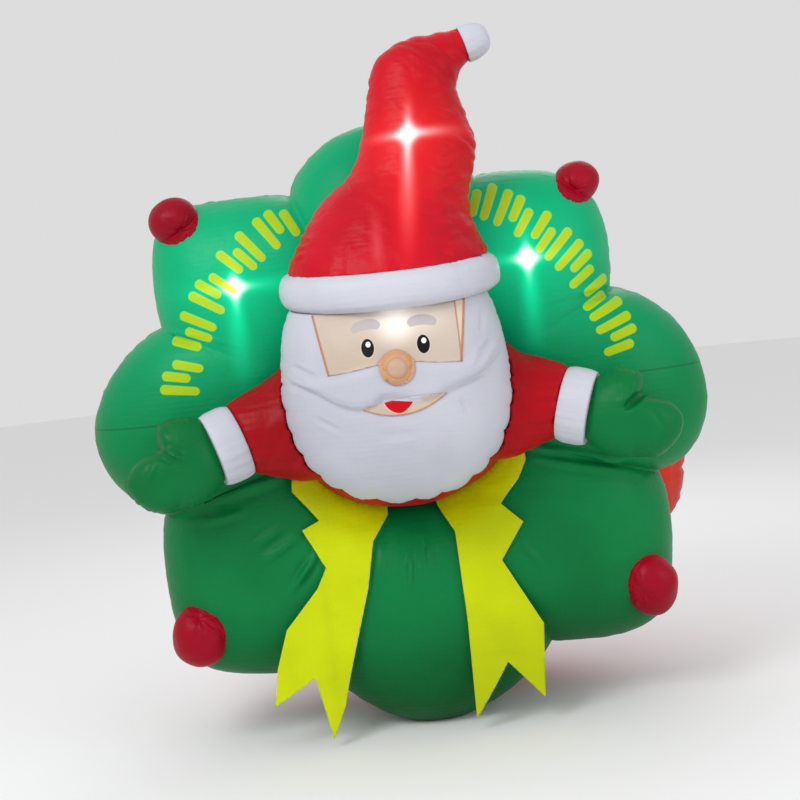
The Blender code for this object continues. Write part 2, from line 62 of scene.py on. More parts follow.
def makeCamera():
    data = bpy.data.cameras.new("camera")
    data.lens = view["lens"]
    data.sensor_width = view["film"]
    camera = bpy.data.objects.new("camera", data)
    bpy.context.scene.collection.objects.link(camera)
    up = math.radians(view["up"])
    away = Vector((0, -math.cos(up), math.sin(up)))
    camera.location = Vector(view["target"]) + away * view["distance"]
    turn = away.to_track_quat("Z", "Y").to_matrix() @ Matrix.Rotation(math.radians(-view["roll"]), 3, "Z")
    camera.rotation_euler = turn.to_euler()
    bpy.context.scene.camera = camera


def areaLight(name, place, size, power):
    data = bpy.data.lights.new(name, "AREA")
    data.shape = "DISK"
    data.size = size
    data.energy = power
    lamp = bpy.data.objects.new(name, data)
    bpy.context.scene.collection.objects.link(lamp)
    lamp.location = place
    lamp.rotation_euler = (Vector(place) - Vector(stage["aim"])).to_track_quat("Z", "Y").to_euler()


def makeStage():
    world = bpy.data.worlds.new("studio")
    world.use_nodes = True
    sky = world.node_tree.nodes["Background"]
    sky.inputs["Color"].default_value = (1, 1, 1, 1)
    sky.inputs["Strength"].default_value = stage["world"]
    bpy.context.scene.world = world
    for name, (place, size, power) in stage["lamps"].items():
        areaLight(name, place, size, power)
    bm = bmesh.new()
    bmesh.ops.create_circle(bm, cap_ends=True, radius=stage["floorRadius"], segments=64)
    mesh = bpy.data.meshes.new("floor")
    bm.to_mesh(mesh)
    bm.free()
    floor = bpy.data.objects.new("floor", mesh)
    bpy.context.scene.collection.objects.link(floor)
    paper = bpy.data.materials.new("palePaper")
    paper.use_nodes = True
    shader = paper.node_tree.nodes["Principled BSDF"]
    shader.inputs["Base Color"].default_value = stage["floor"]
    shader.inputs["Roughness"].default_value = stage["floorRoughness"]
    mesh.materials.append(paper)
    bpy.context.scene.view_settings.view_transform = "Standard"


# materials, all on object coordinates

cloth = {
    "roughness": 0.42, "glossScale": 9.0, "glossSpread": 0.12,
    "sheen": 0.012, "sheenRoughness": 0.4,
    "specular": 0.14,
    "toneScale": 2.6, "toneRange": (0.35, 0.68),
    "thread": 560.0,                            # radians a metre, about 89 ribs of the weave
    "threadBump": 0.00012,
    "crumpleScale": 17.0, "crumpleBump": 0.0032,
    "creaseScale": 62.0, "creaseBump": 0.0009, "creaseStretch": (0.28, 0.4, 1.0),
}
waveUnit = 20.0                                 # a wave node counts twenty radians for each unit of its scale
lampStar = {"core": 1.3, "haze": 0.35, "hazeSize": 2.4, "arm": 0.6, "armWidth": 0.42, "armSpread": 0.11}


# A small helper that adds and joins shader nodes.
class Web:

    def __init__(self, name):
        self.material = bpy.data.materials.new(name)
        self.material.use_nodes = True
        self.nodes = self.material.node_tree.nodes
        self.links = self.material.node_tree.links
        self.shader = self.nodes["Principled BSDF"]
        self.place = self.add("TexCoord").outputs["Object"]
        parts = self.add("SeparateXYZ")
        self.link(self.place, parts.inputs[0])
        self.x, self.y, self.z = parts.outputs
        self.normal = None

    def add(self, kind):
        return self.nodes.new("ShaderNode" + kind)

    def link(self, source, socket):
        if hasattr(source, "is_linked"):
            self.links.new(source, socket)
        else:
            socket.default_value = source

    def math(self, operation, one, two=0.0, three=0.0):
        node = self.add("Math")
        node.operation = operation
        for value, socket in zip((one, two, three), node.inputs):
            self.link(value, socket)
        return node.outputs[0]

    def plus(self, one, two):
        return self.math("ADD", one, two)

    def less(self, one, two):
        return self.math("SUBTRACT", one, two)

    def times(self, one, two):
        return self.math("MULTIPLY", one, two)

    # A value times a number, and more added to it.
    def add3(self, one, number, more):
        return self.math("MULTIPLY_ADD", one, number, more)

    def apart(self, one, two):
        return self.math("ABSOLUTE", self.less(one, two))

    def vector(self, operation, one, two=(0, 0, 0), output=0):
        node = self.add("VectorMath")
        node.operation = operation
        self.link(one, node.inputs[0])
        self.link(two, node.inputs[1])
        return node.outputs[output]

    def ramp(self, value, low, high, out0=0.0, out1=1.0):
        node = self.add("MapRange")
        node.interpolation_type = "SMOOTHSTEP"
        for source, socket in zip((value, low, high, out0, out1), node.inputs):
            self.link(source, socket)
        return node.outputs[0]

    def mix(self, share, one, two):
        node = self.add("Mix")
        node.data_type = "RGBA"
        self.link(share, node.inputs[0])
        self.link(one, node.inputs[6])
        self.link(two, node.inputs[7])
        return node.outputs[2]

    def noise(self, scale, detail=2.0, stretch=(1, 1, 1), turn=(0, 0, 0), rough=0.5):
        mapping = self.add("Mapping")
        mapping.inputs["Scale"].default_value = stretch
        mapping.inputs["Rotation"].default_value = turn
        self.link(self.place, mapping.inputs["Vector"])
        node = self.add("TexNoise")
        self.link(mapping.outputs[0], node.inputs["Vector"])
        node.inputs["Scale"].default_value = scale
        node.inputs["Detail"].default_value = detail
        node.inputs["Roughness"].default_value = rough
        return node.outputs["Fac"]

    # Distance from a centre in the XZ plane, 1 on an ellipse's edge.
    def ellipse(self, centre, half, turn=0.0):
        mapping = self.add("Mapping")
        mapping.vector_type = "TEXTURE"
        mapping.inputs["Location"].default_value = (centre[0], 0, centre[1])
        mapping.inputs["Rotation"].default_value = (0, -turn, 0)
        mapping.inputs["Scale"].default_value = (half[0], 1e4, half[1])
        self.link(self.place, mapping.inputs["Vector"])
        return self.vector("LENGTH", mapping.outputs[0], output=1)

    # A soft ellipse, by default brightest in its middle and gone at its edge.
    def spot(self, centre, half, turn=0.0, outer=1.0, inner=0.0):
        return self.ramp(self.ellipse(centre, half, turn), outer, inner)

    # Lays reliefs, each (height, distance), on those already there.
    def bump(self, layers):
        for height, distance in layers:
            node = self.add("Bump")
            node.inputs["Distance"].default_value = distance
            node.inputs["Strength"].default_value = 1.0
            self.link(height, node.inputs["Height"])
            if self.normal:
                self.link(self.normal, node.inputs["Normal"])
            self.normal = node.outputs[0]
        self.link(self.normal, self.shader.inputs["Normal"])

    # The glow of a lamp behind woven cloth: a hot core, and arms along the threads, which may lean.
    # The arms are given by their reach up, down, right and left.
    def star(self, centre, size, arms, lean=0.0):
        dz = self.less(self.z, centre[1])
        dx = self.less(self.x, self.add3(dz, lean, centre[0]))
        ax, az = self.math("ABSOLUTE", dx), self.math("ABSOLUTE", dz)
        square = self.plus(self.times(dx, dx), self.times(dz, dz))
        core = self.math("EXPONENT", self.times(square, -1 / size**2))
        haze = self.times(self.math("SQRT", square), -1 / (lampStar["hazeSize"] * size))
        total = self.add3(core, lampStar["core"], self.times(self.math("EXPONENT", haze), lampStar["haze"]))
        for along, aside, signed, ends in ((az, ax, dz, arms[:2]), (ax, az, dx, arms[2:])):
            # an arm fades along its length and spreads as it goes
            forward = self.math("GREATER_THAN", signed, 0.0)
            reach = self.add3(forward, ends[0] - ends[1], ends[1])
            fade = self.math("EXPONENT", self.times(self.math("DIVIDE", along, reach), -1.0))
            width = self.add3(along, lampStar["armSpread"], size * lampStar["armWidth"])
            across = self.math("DIVIDE", aside, width)
            band = self.math("EXPONENT", self.times(self.times(across, across), -1.0))
            total = self.add3(self.times(fade, band), lampStar["arm"], total)
        return total


# Woven nylon: threads, soft crumples and fine creases, and a colour that goes deeper in places.
# relief is its strength, and creases are their slant and their own strength.
def clothWeb(name, colour, deep, relief=1.0, creases=(0.35, 0.8)):
    web = Web(name)
    web.colour = web.mix(web.ramp(web.noise(cloth["toneScale"], 3.0), *cloth["toneRange"]), colour, deep)
    waves = []
    for axis in "XYZ":
        wave = web.add("TexWave")
        wave.bands_direction = axis
        wave.inputs["Scale"].default_value = cloth["thread"] / waveUnit
        web.link(web.place, wave.inputs["Vector"])
        waves.append(wave.outputs["Fac"])
    slant, strength = creases
    fine = web.noise(cloth["creaseScale"], 2.0, cloth["creaseStretch"], (0, slant, 0))
    web.bump((
        (web.noise(cloth["crumpleScale"], 3.0, rough=0.45), cloth["crumpleBump"] * relief),
        (fine, cloth["creaseBump"] * relief * strength),
        (web.times(web.plus(waves[0], waves[1]), waves[2]), cloth["threadBump"]),
    ))
    spread = cloth["glossSpread"]
    roughness = web.add3(web.noise(cloth["glossScale"]), spread, cloth["roughness"] - spread / 2)
    web.link(roughness, web.shader.inputs["Roughness"])
    web.shader.inputs["Specular IOR Level"].default_value = cloth["specular"]
    web.shader.inputs["Sheen Weight"].default_value = cloth["sheen"]
    web.shader.inputs["Sheen Roughness"].default_value = cloth["sheenRoughness"]
    return web


def finishWeb(web, glow=None, glowColour=(1, 1, 1, 1)):
    web.link(web.colour, web.shader.inputs["Base Color"])
    if glow:
        web.link(glow, web.shader.inputs["Emission Strength"])
        web.link(glowColour, web.shader.inputs["Emission Color"])
    return web.material


# shared making of pieces

forwards, backwards = Vector((0, -1, 0)), Vector((0, 1, 0))
mergeWithin = 1e-5
cutWithin = 1e-6
skinGap = 0.0006                                # between cloths that touch
wellOutside = 2.0                               # in front of everything, or behind it
foldShape = {"run": 0.42, "beyond": 0.25, "ridge": 0.45, "ridgeAt": 1.6, "ridgeWidth": 0.8, "widths": 4}


def closeHoles(bm):
    rims = [edge for edge in bm.edges if edge.is_boundary]
    if rims:
        bmesh.ops.holes_fill(bm, edges=rims, sides=0)


# Cuts the mesh through and takes away what is beyond the cut.
def clearBeyond(bm, place, normal):
    bmesh.ops.bisect_plane(bm, geom=bm.verts[:] + bm.edges[:] + bm.faces[:], plane_co=place, plane_no=normal,
                           clear_outer=True)


# Cuts a flat panel into strips, so that it can bend.
def cutStrips(bm, normal, start, step, count):
    for number in range(1, count):
        bmesh.ops.bisect_plane(bm, geom=bm.verts[:] + bm.edges[:] + bm.faces[:], dist=cutWithin,
                               plane_co=Vector(normal) * (start + number * step), plane_no=normal)


# Gives a laid panel its thickness, and returns the corners of its front.
def thickenForward(bm, thickness):
    bm.normal_update()
    if sum(one.normal.y * one.calc_area() for one in bm.faces) > 0:
        bmesh.ops.reverse_faces(bm, faces=bm.faces)
    shell = bmesh.ops.extrude_face_region(bm, geom=bm.faces[:])
    moved = [item for item in shell["geom"] if isinstance(item, bmesh.types.BMVert)]
    bmesh.ops.translate(bm, verts=moved, vec=forwards * thickness)
    return moved


# Smooths cloth a few times over.
def relax(bm, verts, times):
    for _ in range(times):
        bmesh.ops.smooth_vert(bm, verts=verts, factor=0.5, use_axis_x=True, use_axis_y=True, use_axis_z=True)


# Merges and closes the mesh, turns its faces out, and puts it in place of its CAD node.
def newPiece(name, bm, material, node):
    bmesh.ops.remove_doubles(bm, verts=bm.verts, dist=mergeWithin)
    closeHoles(bm)
    bmesh.ops.recalc_face_normals(bm, faces=bm.faces)
    for face in bm.faces:
        face.smooth = len(face.verts) < 5
    mesh = bpy.data.meshes.new(name)
    bm.to_mesh(mesh)
    bm.free()
    mesh.materials.append(material)
    obj = bpy.data.objects.new(name, mesh)
    bpy.context.scene.collection.objects.link(obj)
    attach(obj, "root")
    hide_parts(node)
    return obj


# A cube cut fine and blown to a ball, so that no pole pinches its front.
def ballMesh(cuts):
    bm = bmesh.new()
    bmesh.ops.create_cube(bm, size=2)
    bmesh.ops.subdivide_edges(bm, edges=bm.edges[:], cuts=cuts, use_grid_fill=True)
    for vertex in bm.verts:
        even = [math.tan(value * math.pi / 4) for value in vertex.co]
        vertex.co = Vector(even).normalized()
    return bm


# Two panels sewn on an outline and blown up. outlineAt gives the outline at an angle.
def bagMesh(outlineAt, front, back, fullness, place, cuts):
    bm = ballMesh(cuts)
    for vertex in bm.verts:
        ahead = -vertex.co.y
        slope = math.acos(max(-1.0, min(1.0, ahead)))
        turn = math.atan2(vertex.co.z, vertex.co.x)
        across, up = outlineAt(turn)
        spread = math.sin(slope) ** fullness
        vertex.co = place @ Vector((across * spread, -ahead * (front if ahead > 0 else back), up * spread))
    return bm


# A line of points spun into a tube, then laid on pointAt(turn, share).
def tubeMesh(pointAt, around, along):
    bm = bmesh.new()
    line = [bm.verts.new((1, 0, step / along)) for step in range(along + 1)]
    edges = [bm.edges.new(pair) for pair in zip(line, line[1:])]
    bmesh.ops.spin(bm, geom=line + edges, axis=(0, 0, 1), cent=(0, 0, 0), angle=math.tau, steps=around,
                   use_merge=True)
    for vertex in bm.verts:
        vertex.co = pointAt(math.atan2(vertex.co.y, vertex.co.x), min(1.0, max(0.0, vertex.co.z)))
    return bm


# The value at a place of a smooth curve through (place, value) points.
def through(points, place):
    last = len(points) - 2
    index = min(last, max(0, sum(1 for point in points if point[0] <= place) - 1))
    (start, v1), (end, v2) = points[index], points[index + 1]
    before, v0 = points[index - 1] if index > 0 else points[index]
    after, v3 = points[index + 2] if index < last else points[index + 1]
    span = end - start
    share = (place - start) / span
    slopeIn = (v2 - v0) / (end - before) * span
    slopeOut = (v3 - v1) / (after - start) * span
    s2, s3 = share**2, share**3
    return ((2 * s3 - 3 * s2 + 1) * v1 + (s3 - 2 * s2 + share) * slopeIn + (s3 - s2) * slopeOut
            + (3 * s2 - 2 * s3) * v2)


# The same on a closed run of (degrees, value) points.
def aroundThrough(points, degrees):
    closed = [(place - 360, value) for place, value in points[-2:]] + list(points)
    closed += [(place + 360, value) for place, value in points[:2]]
    low = points[0][0]
    return through(closed, (degrees - low) % 360 + low)


# Pucker ridges along a seam: sharp valleys between soft ridges, never quite even.
def ripple(place, seed=0.0):
    value = noise.noise(Vector((place, seed, 0.37)))
    value += 0.45 * noise.noise(Vector((place * 2.3, seed + 5.1, 1.9)))
    return 1.0 - 2.2 * abs(value)


# 1 at nothing, fading out past a width. A higher power makes its top flatter.
def bell(value, width, power=2):
    return math.exp(-(abs(value) / width) ** power)


# The low hills of blown cloth, each (height, hills a metre).
def hills(point, layers):
    return sum(height * noise.noise(point * scale) for height, scale in layers)


# Puckers that run in from a seam, and the thin valley of the seam itself.
# seam is the puckers' height and reach, then the valley's depth and half width.
def seamRelief(fromSeam, lines, seam):
    height, reach, depth, width = seam
    return height * bell(fromSeam, reach, 1.5) * lines - depth * bell(fromSeam, width)


# Relief of straight folds, each (x1, z1, x2, z2, width, depth): a valley with a low ridge on each side.
def foldAt(x, z, folds):
    relief = 0.0
    for x1, z1, x2, z2, width, depth in folds:
        runX, runZ = x2 - x1, z2 - z1
        length2 = runX * runX + runZ * runZ
        share = ((x - x1) * runX + (z - z1) * runZ) / length2
        near = abs((x - x1) * runZ - (z - z1) * runX) / math.sqrt(length2) / width
        if near < foldShape["widths"] and -foldShape["beyond"] < share < 1 + foldShape["beyond"]:
            ridges = foldShape["ridge"] * bell(near - foldShape["ridgeAt"], foldShape["ridgeWidth"])
            relief += depth * bell(share - 0.5, foldShape["run"], 4) * (ridges - bell(near, 1))
    return relief


def pushAlongNormals(bm, reliefAt):
    bm.normal_update()
    moves = [(vertex, vertex.normal * reliefAt(vertex.co, vertex.normal)) for vertex in bm.verts]
    for vertex, move in moves:
        vertex.co += move


def treeOf(obj):
    bm = bmesh.new()
    bm.from_mesh(obj.data)
    tree = BVHTree.FromBMesh(bm)
    bm.free()
    return tree


# Where the cloth would be inside a neighbour, it is pressed flat against it.
def pressForward(bm, tree):
    for vertex in bm.verts:
        start = Vector((vertex.co.x, -wellOutside, vertex.co.z))
        point, _, _, _ = tree.ray_cast(start, backwards)
        if point is not None:
            vertex.co.y = min(vertex.co.y, point.y - skinGap)


def pressBack(bm, trees):
    for tree in trees:
        for vertex in bm.verts:
            start = Vector((vertex.co.x, wellOutside, vertex.co.z))
            point, _, _, _ = tree.ray_cast(start, forwards)
            if point is not None:
                vertex.co.y = max(vertex.co.y, point.y + skinGap)


# From inside a closed skin, every way out meets a face from behind.
def isInside(tree, place):
    for way in (forwards, backwards, Vector((0.1, 0, 1)), Vector((1, 0, -0.1))):
        point, normal, _, _ = tree.ray_cast(place, way)
        if point is None or normal.dot(way) < 0:
            return False
    return True


def pressOff(bm, trees, gap=skinGap, deepest=0.012):
    for tree in trees:
        for vertex in bm.verts:
            point, normal, _, distance = tree.find_nearest(vertex.co, deepest)
            if point is not None and (vertex.co - point).dot(normal) < gap:
                vertex.co = point + normal * gap


# wreath

wreath = {
    "radius": 0.60,
    "hole": 0.20,
    "depth": 0.35,
    "footSink": 0.014,
    # half width and half height in shares of the radius, and squareness, of each corner lobe
    "squareLobes": {(1, 1): (0.820, 0.833, 6.6), (-1, 1): (0.875, 0.843, 9.0),
                    (-1, -1): (0.962, 0.942, 8.0), (1, -1): (0.943, 0.940, 8.5)},
    # first notch and its crease, tip and its reach, last notch and its crease, roundness
    "roundLobes": {
        "right": ((-20.2, 0.34), (-4.0, 1.125), (24.2, 0.16), 2.2),
        "top": ((67.1, 0.20), (90.5, 1.052), (112.1, 0.22), 1.75),
        "left": ((155.2, 0.14), (178.6, 1.163), (197.6, 0.34), 1.5),
        "bottom": ((246.5, 0.12), (270.5, 1.190), (295.8, 0.12), 1.4),
    },
    "tipRounding": 0.22,
    "fullness": 0.88,
    "creaseWidth": 3.2, "creaseFade": 2.0, "creasePuckers": 0.0035,
    "lineWidth": 0.9, "lineDepth": 0.05,        # the stitched line at the bottom of a crease
    "notchDip": 0.09,
    "around": 640, "section": 108, "ringRadius": 10.0,
    "hills": ((0.006, 3.1), (0.0022, 9.0)),
    "seam": (0.0020, 0.05, 0.003, 0.006),
    "panelSeam": 0.733,
    "foldDepth": 1.6,
    # folds of the front: x1, z1, x2, z2, width, depth
    "folds": (
        (-0.366, 0.449, -0.282, 0.491, 0.010, 0.004), (-0.343, 0.417, -0.250, 0.466, 0.010, 0.004),
        (-0.278, 0.357, -0.228, 0.415, 0.008, 0.007), (-0.024, 0.395, -0.034, 0.321, 0.008, 0.004),
        (0.016, 0.417, 0.014, 0.359, 0.007, 0.003), (-0.076, 0.428, -0.095, 0.350, 0.012, 0.003),
        (0.251, 0.599, 0.486, 0.537, 0.009, 0.004), (0.264, 0.573, 0.484, 0.514, 0.009, 0.0045),
        (0.398, 0.565, 0.453, 0.535, 0.008, 0.004), (0.214, 0.390, 0.251, 0.353, 0.008, 0.003),
        (-0.530, 0.541, -0.271, 0.598, 0.012, 0.005), (-0.46, 0.515, -0.36, 0.53, 0.008, 0.003),
        (-0.507, 0.933, -0.415, 0.911, 0.007, 0.004), (-0.40, 0.905, -0.321, 0.877, 0.005, 0.0015),
        (0.478, 0.928, 0.389, 0.914, 0.007, 0.004), (0.389, 0.914, 0.302, 0.896, 0.005, 0.0015),
    ),
    "green": (0.0, 0.200, 0.050, 1),
    "greenDeep": (0.0, 0.150, 0.034, 1),
    # painted light: the brighter, bluer green of the upper lobes
    "greenPaintedLight": (0.0, 0.300, 0.120, 1),
    # painted shade: the darker green at the bottom of the lower lobes
    "greenPaintedShade": (0.0, 0.078, 0.014, 1),
    "seamGreen": (0.0, 0.05, 0.02, 1),
    # lamps behind the upper lobes
    "lamps": (
        {"star": (-0.330, 1.007), "arms": (0.032, 0.085, 0.085, 0.050),
         "halo": ((-0.33, 0.98), (0.28, 0.32)), "column": ((-0.337, 0.925), (0.036, 0.15))},
        {"star": (0.292, 0.999), "arms": (0.045, 0.085, 0.050, 0.060),
         "halo": ((0.29, 0.98), (0.28, 0.30)), "column": ((0.292, 0.925), (0.036, 0.14))},
    ),
    "starSize": 0.019,
    "glow": {"star": 0.95, "halo": 0.13, "column": 0.16, "lobe": 0.05},
    "glowGreen": (0.0, 0.85, 0.42, 1), "glowWhite": (0.85, 1.0, 0.97, 1),
}
wreath["height"] = wreath["radius"] * wreath["roundLobes"]["bottom"][1][1] - wreath["footSink"]


def squareReach(degrees):
    across, up = math.cos(math.radians(degrees)), math.sin(math.radians(degrees))
    halfWidth, halfHeight, power = wreath["squareLobes"][(1 if across >= 0 else -1, 1 if up >= 0 else -1)]
    return ((abs(across) / halfWidth) ** power + (abs(up) / halfHeight) ** power) ** (-1 / power)


def swell(share, roundness):
    soft = wreath["tipRounding"]
    low, high = soft**roundness, (1 + soft**2) ** (roundness / 2)
    return 1 - (((1 - share) ** 2 + soft**2) ** (roundness / 2) - low) / (high - low)


def creaseAt(degrees, width):
    depth = 0.0
    for first, _, last, _ in wreath["roundLobes"].values():
        for notch, crease in (first, last):
            away = abs((degrees - notch + 180) % 360 - 180)
            depth = max(depth, crease * math.exp(-away / width))
    return depth


def wreathReach(degrees):
    reach = squareReach(degrees)
    for (first, _), (tip, top), (last, _), roundness in wreath["roundLobes"].values():
        into = (degrees - first) % 360
        if into <= last - first:
            notch, run = (first, tip - first) if into <= tip - first else (last, tip - last)
            share = ((degrees - notch + 180) % 360 - 180) / run
            reach = squareReach(notch) + (top - squareReach(notch)) * swell(share, roundness)
    return wreath["radius"] * reach * (1 - wreath["notchDip"] * creaseAt(degrees, wreath["creaseWidth"]))


def wreathSection(degrees):
    reach = wreathReach(degrees)
    return {
        "middle": (reach + wreath["hole"]) / 2,
        "half": (reach - wreath["hole"]) / 2,
        "crease": creaseAt(degrees, wreath["creaseWidth"]),
        "line": creaseAt(degrees, wreath["lineWidth"]),
        "ripple": ripple(degrees * 0.34),
        "rippleBack": ripple(degrees * 0.31, 7.0),
    }


def makeWreath(material):
    bm = bmesh.new()
    circle = bmesh.ops.create_circle(bm, segments=wreath["section"], radius=1,
                                     matrix=Matrix.Translation((wreath["ringRadius"], 0, 0)))
    edges = list({edge for vertex in circle["verts"] for edge in vertex.link_edges})
    bmesh.ops.spin(bm, geom=circle["verts"] + edges, axis=(0, -1, 0), cent=(0, 0, 0), angle=math.tau,
                   steps=wreath["around"], use_merge=True)
    sections = {}
    places = {}
    fullness = wreath["fullness"]
    for vertex in bm.verts:
        x, y, z = vertex.co
        degrees = round(math.degrees(math.atan2(z, x)) % 360, 4)
        turn = math.atan2(y, math.hypot(x, z) - wreath["ringRadius"])
        if degrees not in sections:
            sections[degrees] = wreathSection(degrees)
        part = sections[degrees]
        across, out = math.cos(turn), math.sin(turn)
        distance = part["middle"] + part["half"] * math.copysign(abs(across) ** fullness, across)
        crease = part["crease"] + wreath["lineDepth"] * part["line"]
        crease *= ((1 + across) / 2) ** wreath["creaseFade"]
        depth = wreath["depth"] / 2 * (1 - crease) * math.copysign(abs(out) ** fullness, out)
        angle = math.radians(degrees)
        vertex.co = (distance * math.cos(angle), depth, wreath["height"] + distance * math.sin(angle))
        places[vertex] = (degrees, across, out, distance)
    bm.normal_update()
    moves = []
    for vertex, (degrees, across, out, distance) in places.items():
        part = sections[degrees]
        x, y, z = vertex.co
        relief = hills(vertex.co, wreath["hills"])
        if across > 0:
            lines = part["ripple"] if y < 0 else part["rippleBack"]
            relief += seamRelief(y, lines, wreath["seam"])
        if part["crease"] > 0.02:
            side = ripple(distance * 21 + (11 if y < 0 else 3), degrees * 0.02)
            relief += wreath["creasePuckers"] * part["crease"] * abs(out) * side
        if y < 0:
            relief += wreath["foldDepth"] * foldAt(x, z, wreath["folds"])
        moves.append((vertex, vertex.normal * relief))
    for vertex, move in moves:
        vertex.co += move
        vertex.co.z = max(vertex.co.z, 0.0)
    return newPiece("blownWreath", bm, material, "wreath")


def wreathMaterial():
    web = clothWeb("greenNylon", wreath["green"], wreath["greenDeep"], 1.1, (0.05, 1.0))
    front = web.ramp(web.y, -0.02, -0.10)
    # painted light: the upper lobes are painted brighter and bluer, as lit from inside, and glow a little; the
    # lower ones hardly
    lit = web.ramp(web.z, 0.55, 1.12)
    web.colour = web.mix(lit, web.colour, wreath["greenPaintedLight"])
    # painted shade: darker towards the bottom of the lower lobes, which curve away from the light
    web.colour = web.mix(web.ramp(web.z, 0.40, 0.02, 0.0, 0.75), web.colour, wreath["greenPaintedShade"])
    lamps = [(web.star(lamp["star"], wreath["starSize"], lamp["arms"]), web.spot(*lamp["halo"]),
              web.spot(*lamp["column"])) for lamp in wreath["lamps"]]
    stars, halo, column = (web.plus(one, two) for one, two in zip(*lamps))
    stars = web.times(stars, front)
    power = wreath["glow"]
    glow = web.add3(stars, power["star"], web.times(halo, power["halo"]))
    glow = web.times(web.add3(column, power["column"], glow), front)
    glow = web.add3(lit, power["lobe"], glow)
    glowColour = web.mix(web.ramp(stars, 0.30, 1.25), wreath["glowGreen"], wreath["glowWhite"])
    marks, rim = (web.times(one, front) for one in strokeMarks(web))
    web.bump(((rim, strokes["raised"]),))
    web.colour = web.mix(rim, web.colour, strokes["rimColour"])
    web.colour = web.mix(marks, web.colour, strokes["yellow"])
    seam = web.ramp(web.apart(web.z, wreath["panelSeam"]), 0.0030, 0.0008, 0.0, 0.45)
    web.colour = web.mix(seam, web.colour, wreath["seamGreen"])
    # less light comes through the second layer of cloth
    glow = web.times(glow, web.add3(marks, -strokes["shade"], 1.0))
    return finishWeb(web, glow, web.mix(marks, glowColour, strokes["lit"]))


# sewn-on dashes on two arcs of the upper lobes, plain strokes only
strokes = {
    "centreZ": 0.70,
    # first and last place in degrees, and their number
    "leftArc": (118.0, 164.5, 5),
    "rightArc": (13.8, 65.4, 6),
    "middle": 0.483,
    # bars of one place, in metres from its middle: along the arc, outwards, to the other end
    "dashes": (
        (-0.029, -0.033, -0.025, 0.033), (-0.002, -0.033, 0.001, 0.010), (0.025, -0.016, 0.028, 0.033),
    ),
    "halfWidth": 0.0080,
    "edge": 0.0012,
    "rim": (0.003, 0.001),                      # how far the pale rim reaches past a bar
    "raised": 0.0007,
    "shade": 0.45,
    "yellow": (0.36, 0.50, 0.0, 1), "rimColour": (0.24, 0.56, 0.02, 1), "lit": (0.80, 0.95, 0.15, 1),
}


# Distance from a bar's middle line, from its start along its run.
def barDistance(web, place, begin, run):
    start = web.vector("SUBTRACT", place, tuple(begin))
    share = web.math("DIVIDE", web.vector("DOT_PRODUCT", start, tuple(run), output=1), run.length_squared)
    share = web.math("MINIMUM", web.math("MAXIMUM", share, 0.0), 1.0)
    scaled = web.add("VectorMath")
    scaled.operation = "SCALE"
    scaled.inputs[0].default_value = tuple(run)
    web.link(share, scaled.inputs["Scale"])
    return web.vector("LENGTH", web.vector("SUBTRACT", start, scaled.outputs[0]), output=1)


def strokeMarks(web):
    rise = web.less(web.z, strokes["centreZ"])
    degrees = web.times(web.math("ARCTAN2", rise, web.x), 180 / math.pi)
    far = web.math("SQRT", web.plus(web.times(web.x, web.x), web.times(rise, rise)))
    outside = web.less(far, strokes["middle"])
    half = strokes["halfWidth"]
    rimFar, rimNear = strokes["rim"]
    marks, rims = [], []
    for first, last, count in (strokes["leftArc"], strokes["rightArc"]):
        pitch = (last - first) / (count - 1)
        cell = web.math("DIVIDE", web.less(degrees, first - pitch / 2), pitch)
        started = web.math("GREATER_THAN", cell, 0.0)
        inside = web.times(started, web.math("LESS_THAN", cell, float(count)))
        number = web.math("FLOOR", cell)
        sign = web.add3(web.math("MODULO", number, 2.0), 2.0, -1.0)
        along = web.less(web.less(cell, number), 0.5)
        # every other place is turned half round, so the bars stay parallel
        along = web.times(web.times(along, sign), strokes["middle"] * math.radians(pitch))
        joined = web.add("CombineXYZ")
        web.link(along, joined.inputs[0])
        web.link(web.times(outside, sign), joined.inputs[1])
        nearest = None
        for x1, y1, x2, y2 in strokes["dashes"]:
            away = barDistance(web, joined.outputs[0], Vector((x1, y1, 0)), Vector((x2 - x1, y2 - y1, 0)))
            nearest = away if nearest is None else web.math("MINIMUM", nearest, away)
        marks.append(web.times(web.ramp(nearest, half, half - strokes["edge"]), inside))
        rims.append(web.times(web.ramp(nearest, half + rimFar, half + rimNear), inside))
    return web.math("MAXIMUM", *marks), web.math("MAXIMUM", *rims)


# berries

# right and up in shares of the wreath's radius, half width, half height and the place of the pinch
berries = {
    "berry_top_left": (-0.753, 0.775, 0.0545, 0.0515, (0.02, -0.03)),
    "berry_top_right": (0.712, 0.755, 0.050, 0.046, (-0.02, -0.02)),
    "berry_bottom_left": (-0.837, -0.730, 0.0595, 0.067, (0.01, 0.05)),
    "berry_bottom_right": (0.820, -0.725, 0.056, 0.068, (-0.03, -0.01)),
}
berry = {
    "out": 0.052, "cuts": 30,
    "rays": (0.0026, 0.022, 0.020),             # height, distance from the pinch and width
    "pinch": (0.006, 0.012),                    # depth and width
    "hills": ((0.0045, 21),),
    "red": (0.37, 0.0, 0.014, 1), "redDeep": (0.25, 0.0, 0.010, 1),
}


def makeBerry(name, material, tree):
    shareX, shareZ, halfWidth, halfHeight, pinch = berries[name]
    x, z = shareX * wreath["radius"], wreath["height"] + shareZ * wreath["radius"]
    centre = Vector((x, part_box(name)[0][1] + berry["out"], z))

    def outlineAt(turn):
        return halfWidth * math.cos(turn), halfHeight * math.sin(turn)

    # creases run out from the stitched pinch
    def reliefAt(point, normal):
        dx, dz = point.x - x - pinch[0], point.z - z - pinch[1]
        far = math.hypot(dx, dz)
        height, distance, width = berry["rays"]
        depth, pinchWidth = berry["pinch"]
        relief = height * bell(far - distance, width) * ripple(math.atan2(dz, dx) * 2.6, x * 9)
        return relief - depth * bell(far, pinchWidth) + hills(point, berry["hills"])

    bm = bagMesh(outlineAt, berry["out"], berry["out"], 1.0, Matrix.Translation(centre), berry["cuts"])
    pushAlongNormals(bm, reliefAt)
    pressForward(bm, tree)
    newPiece("blown_" + name, bm, material, name)


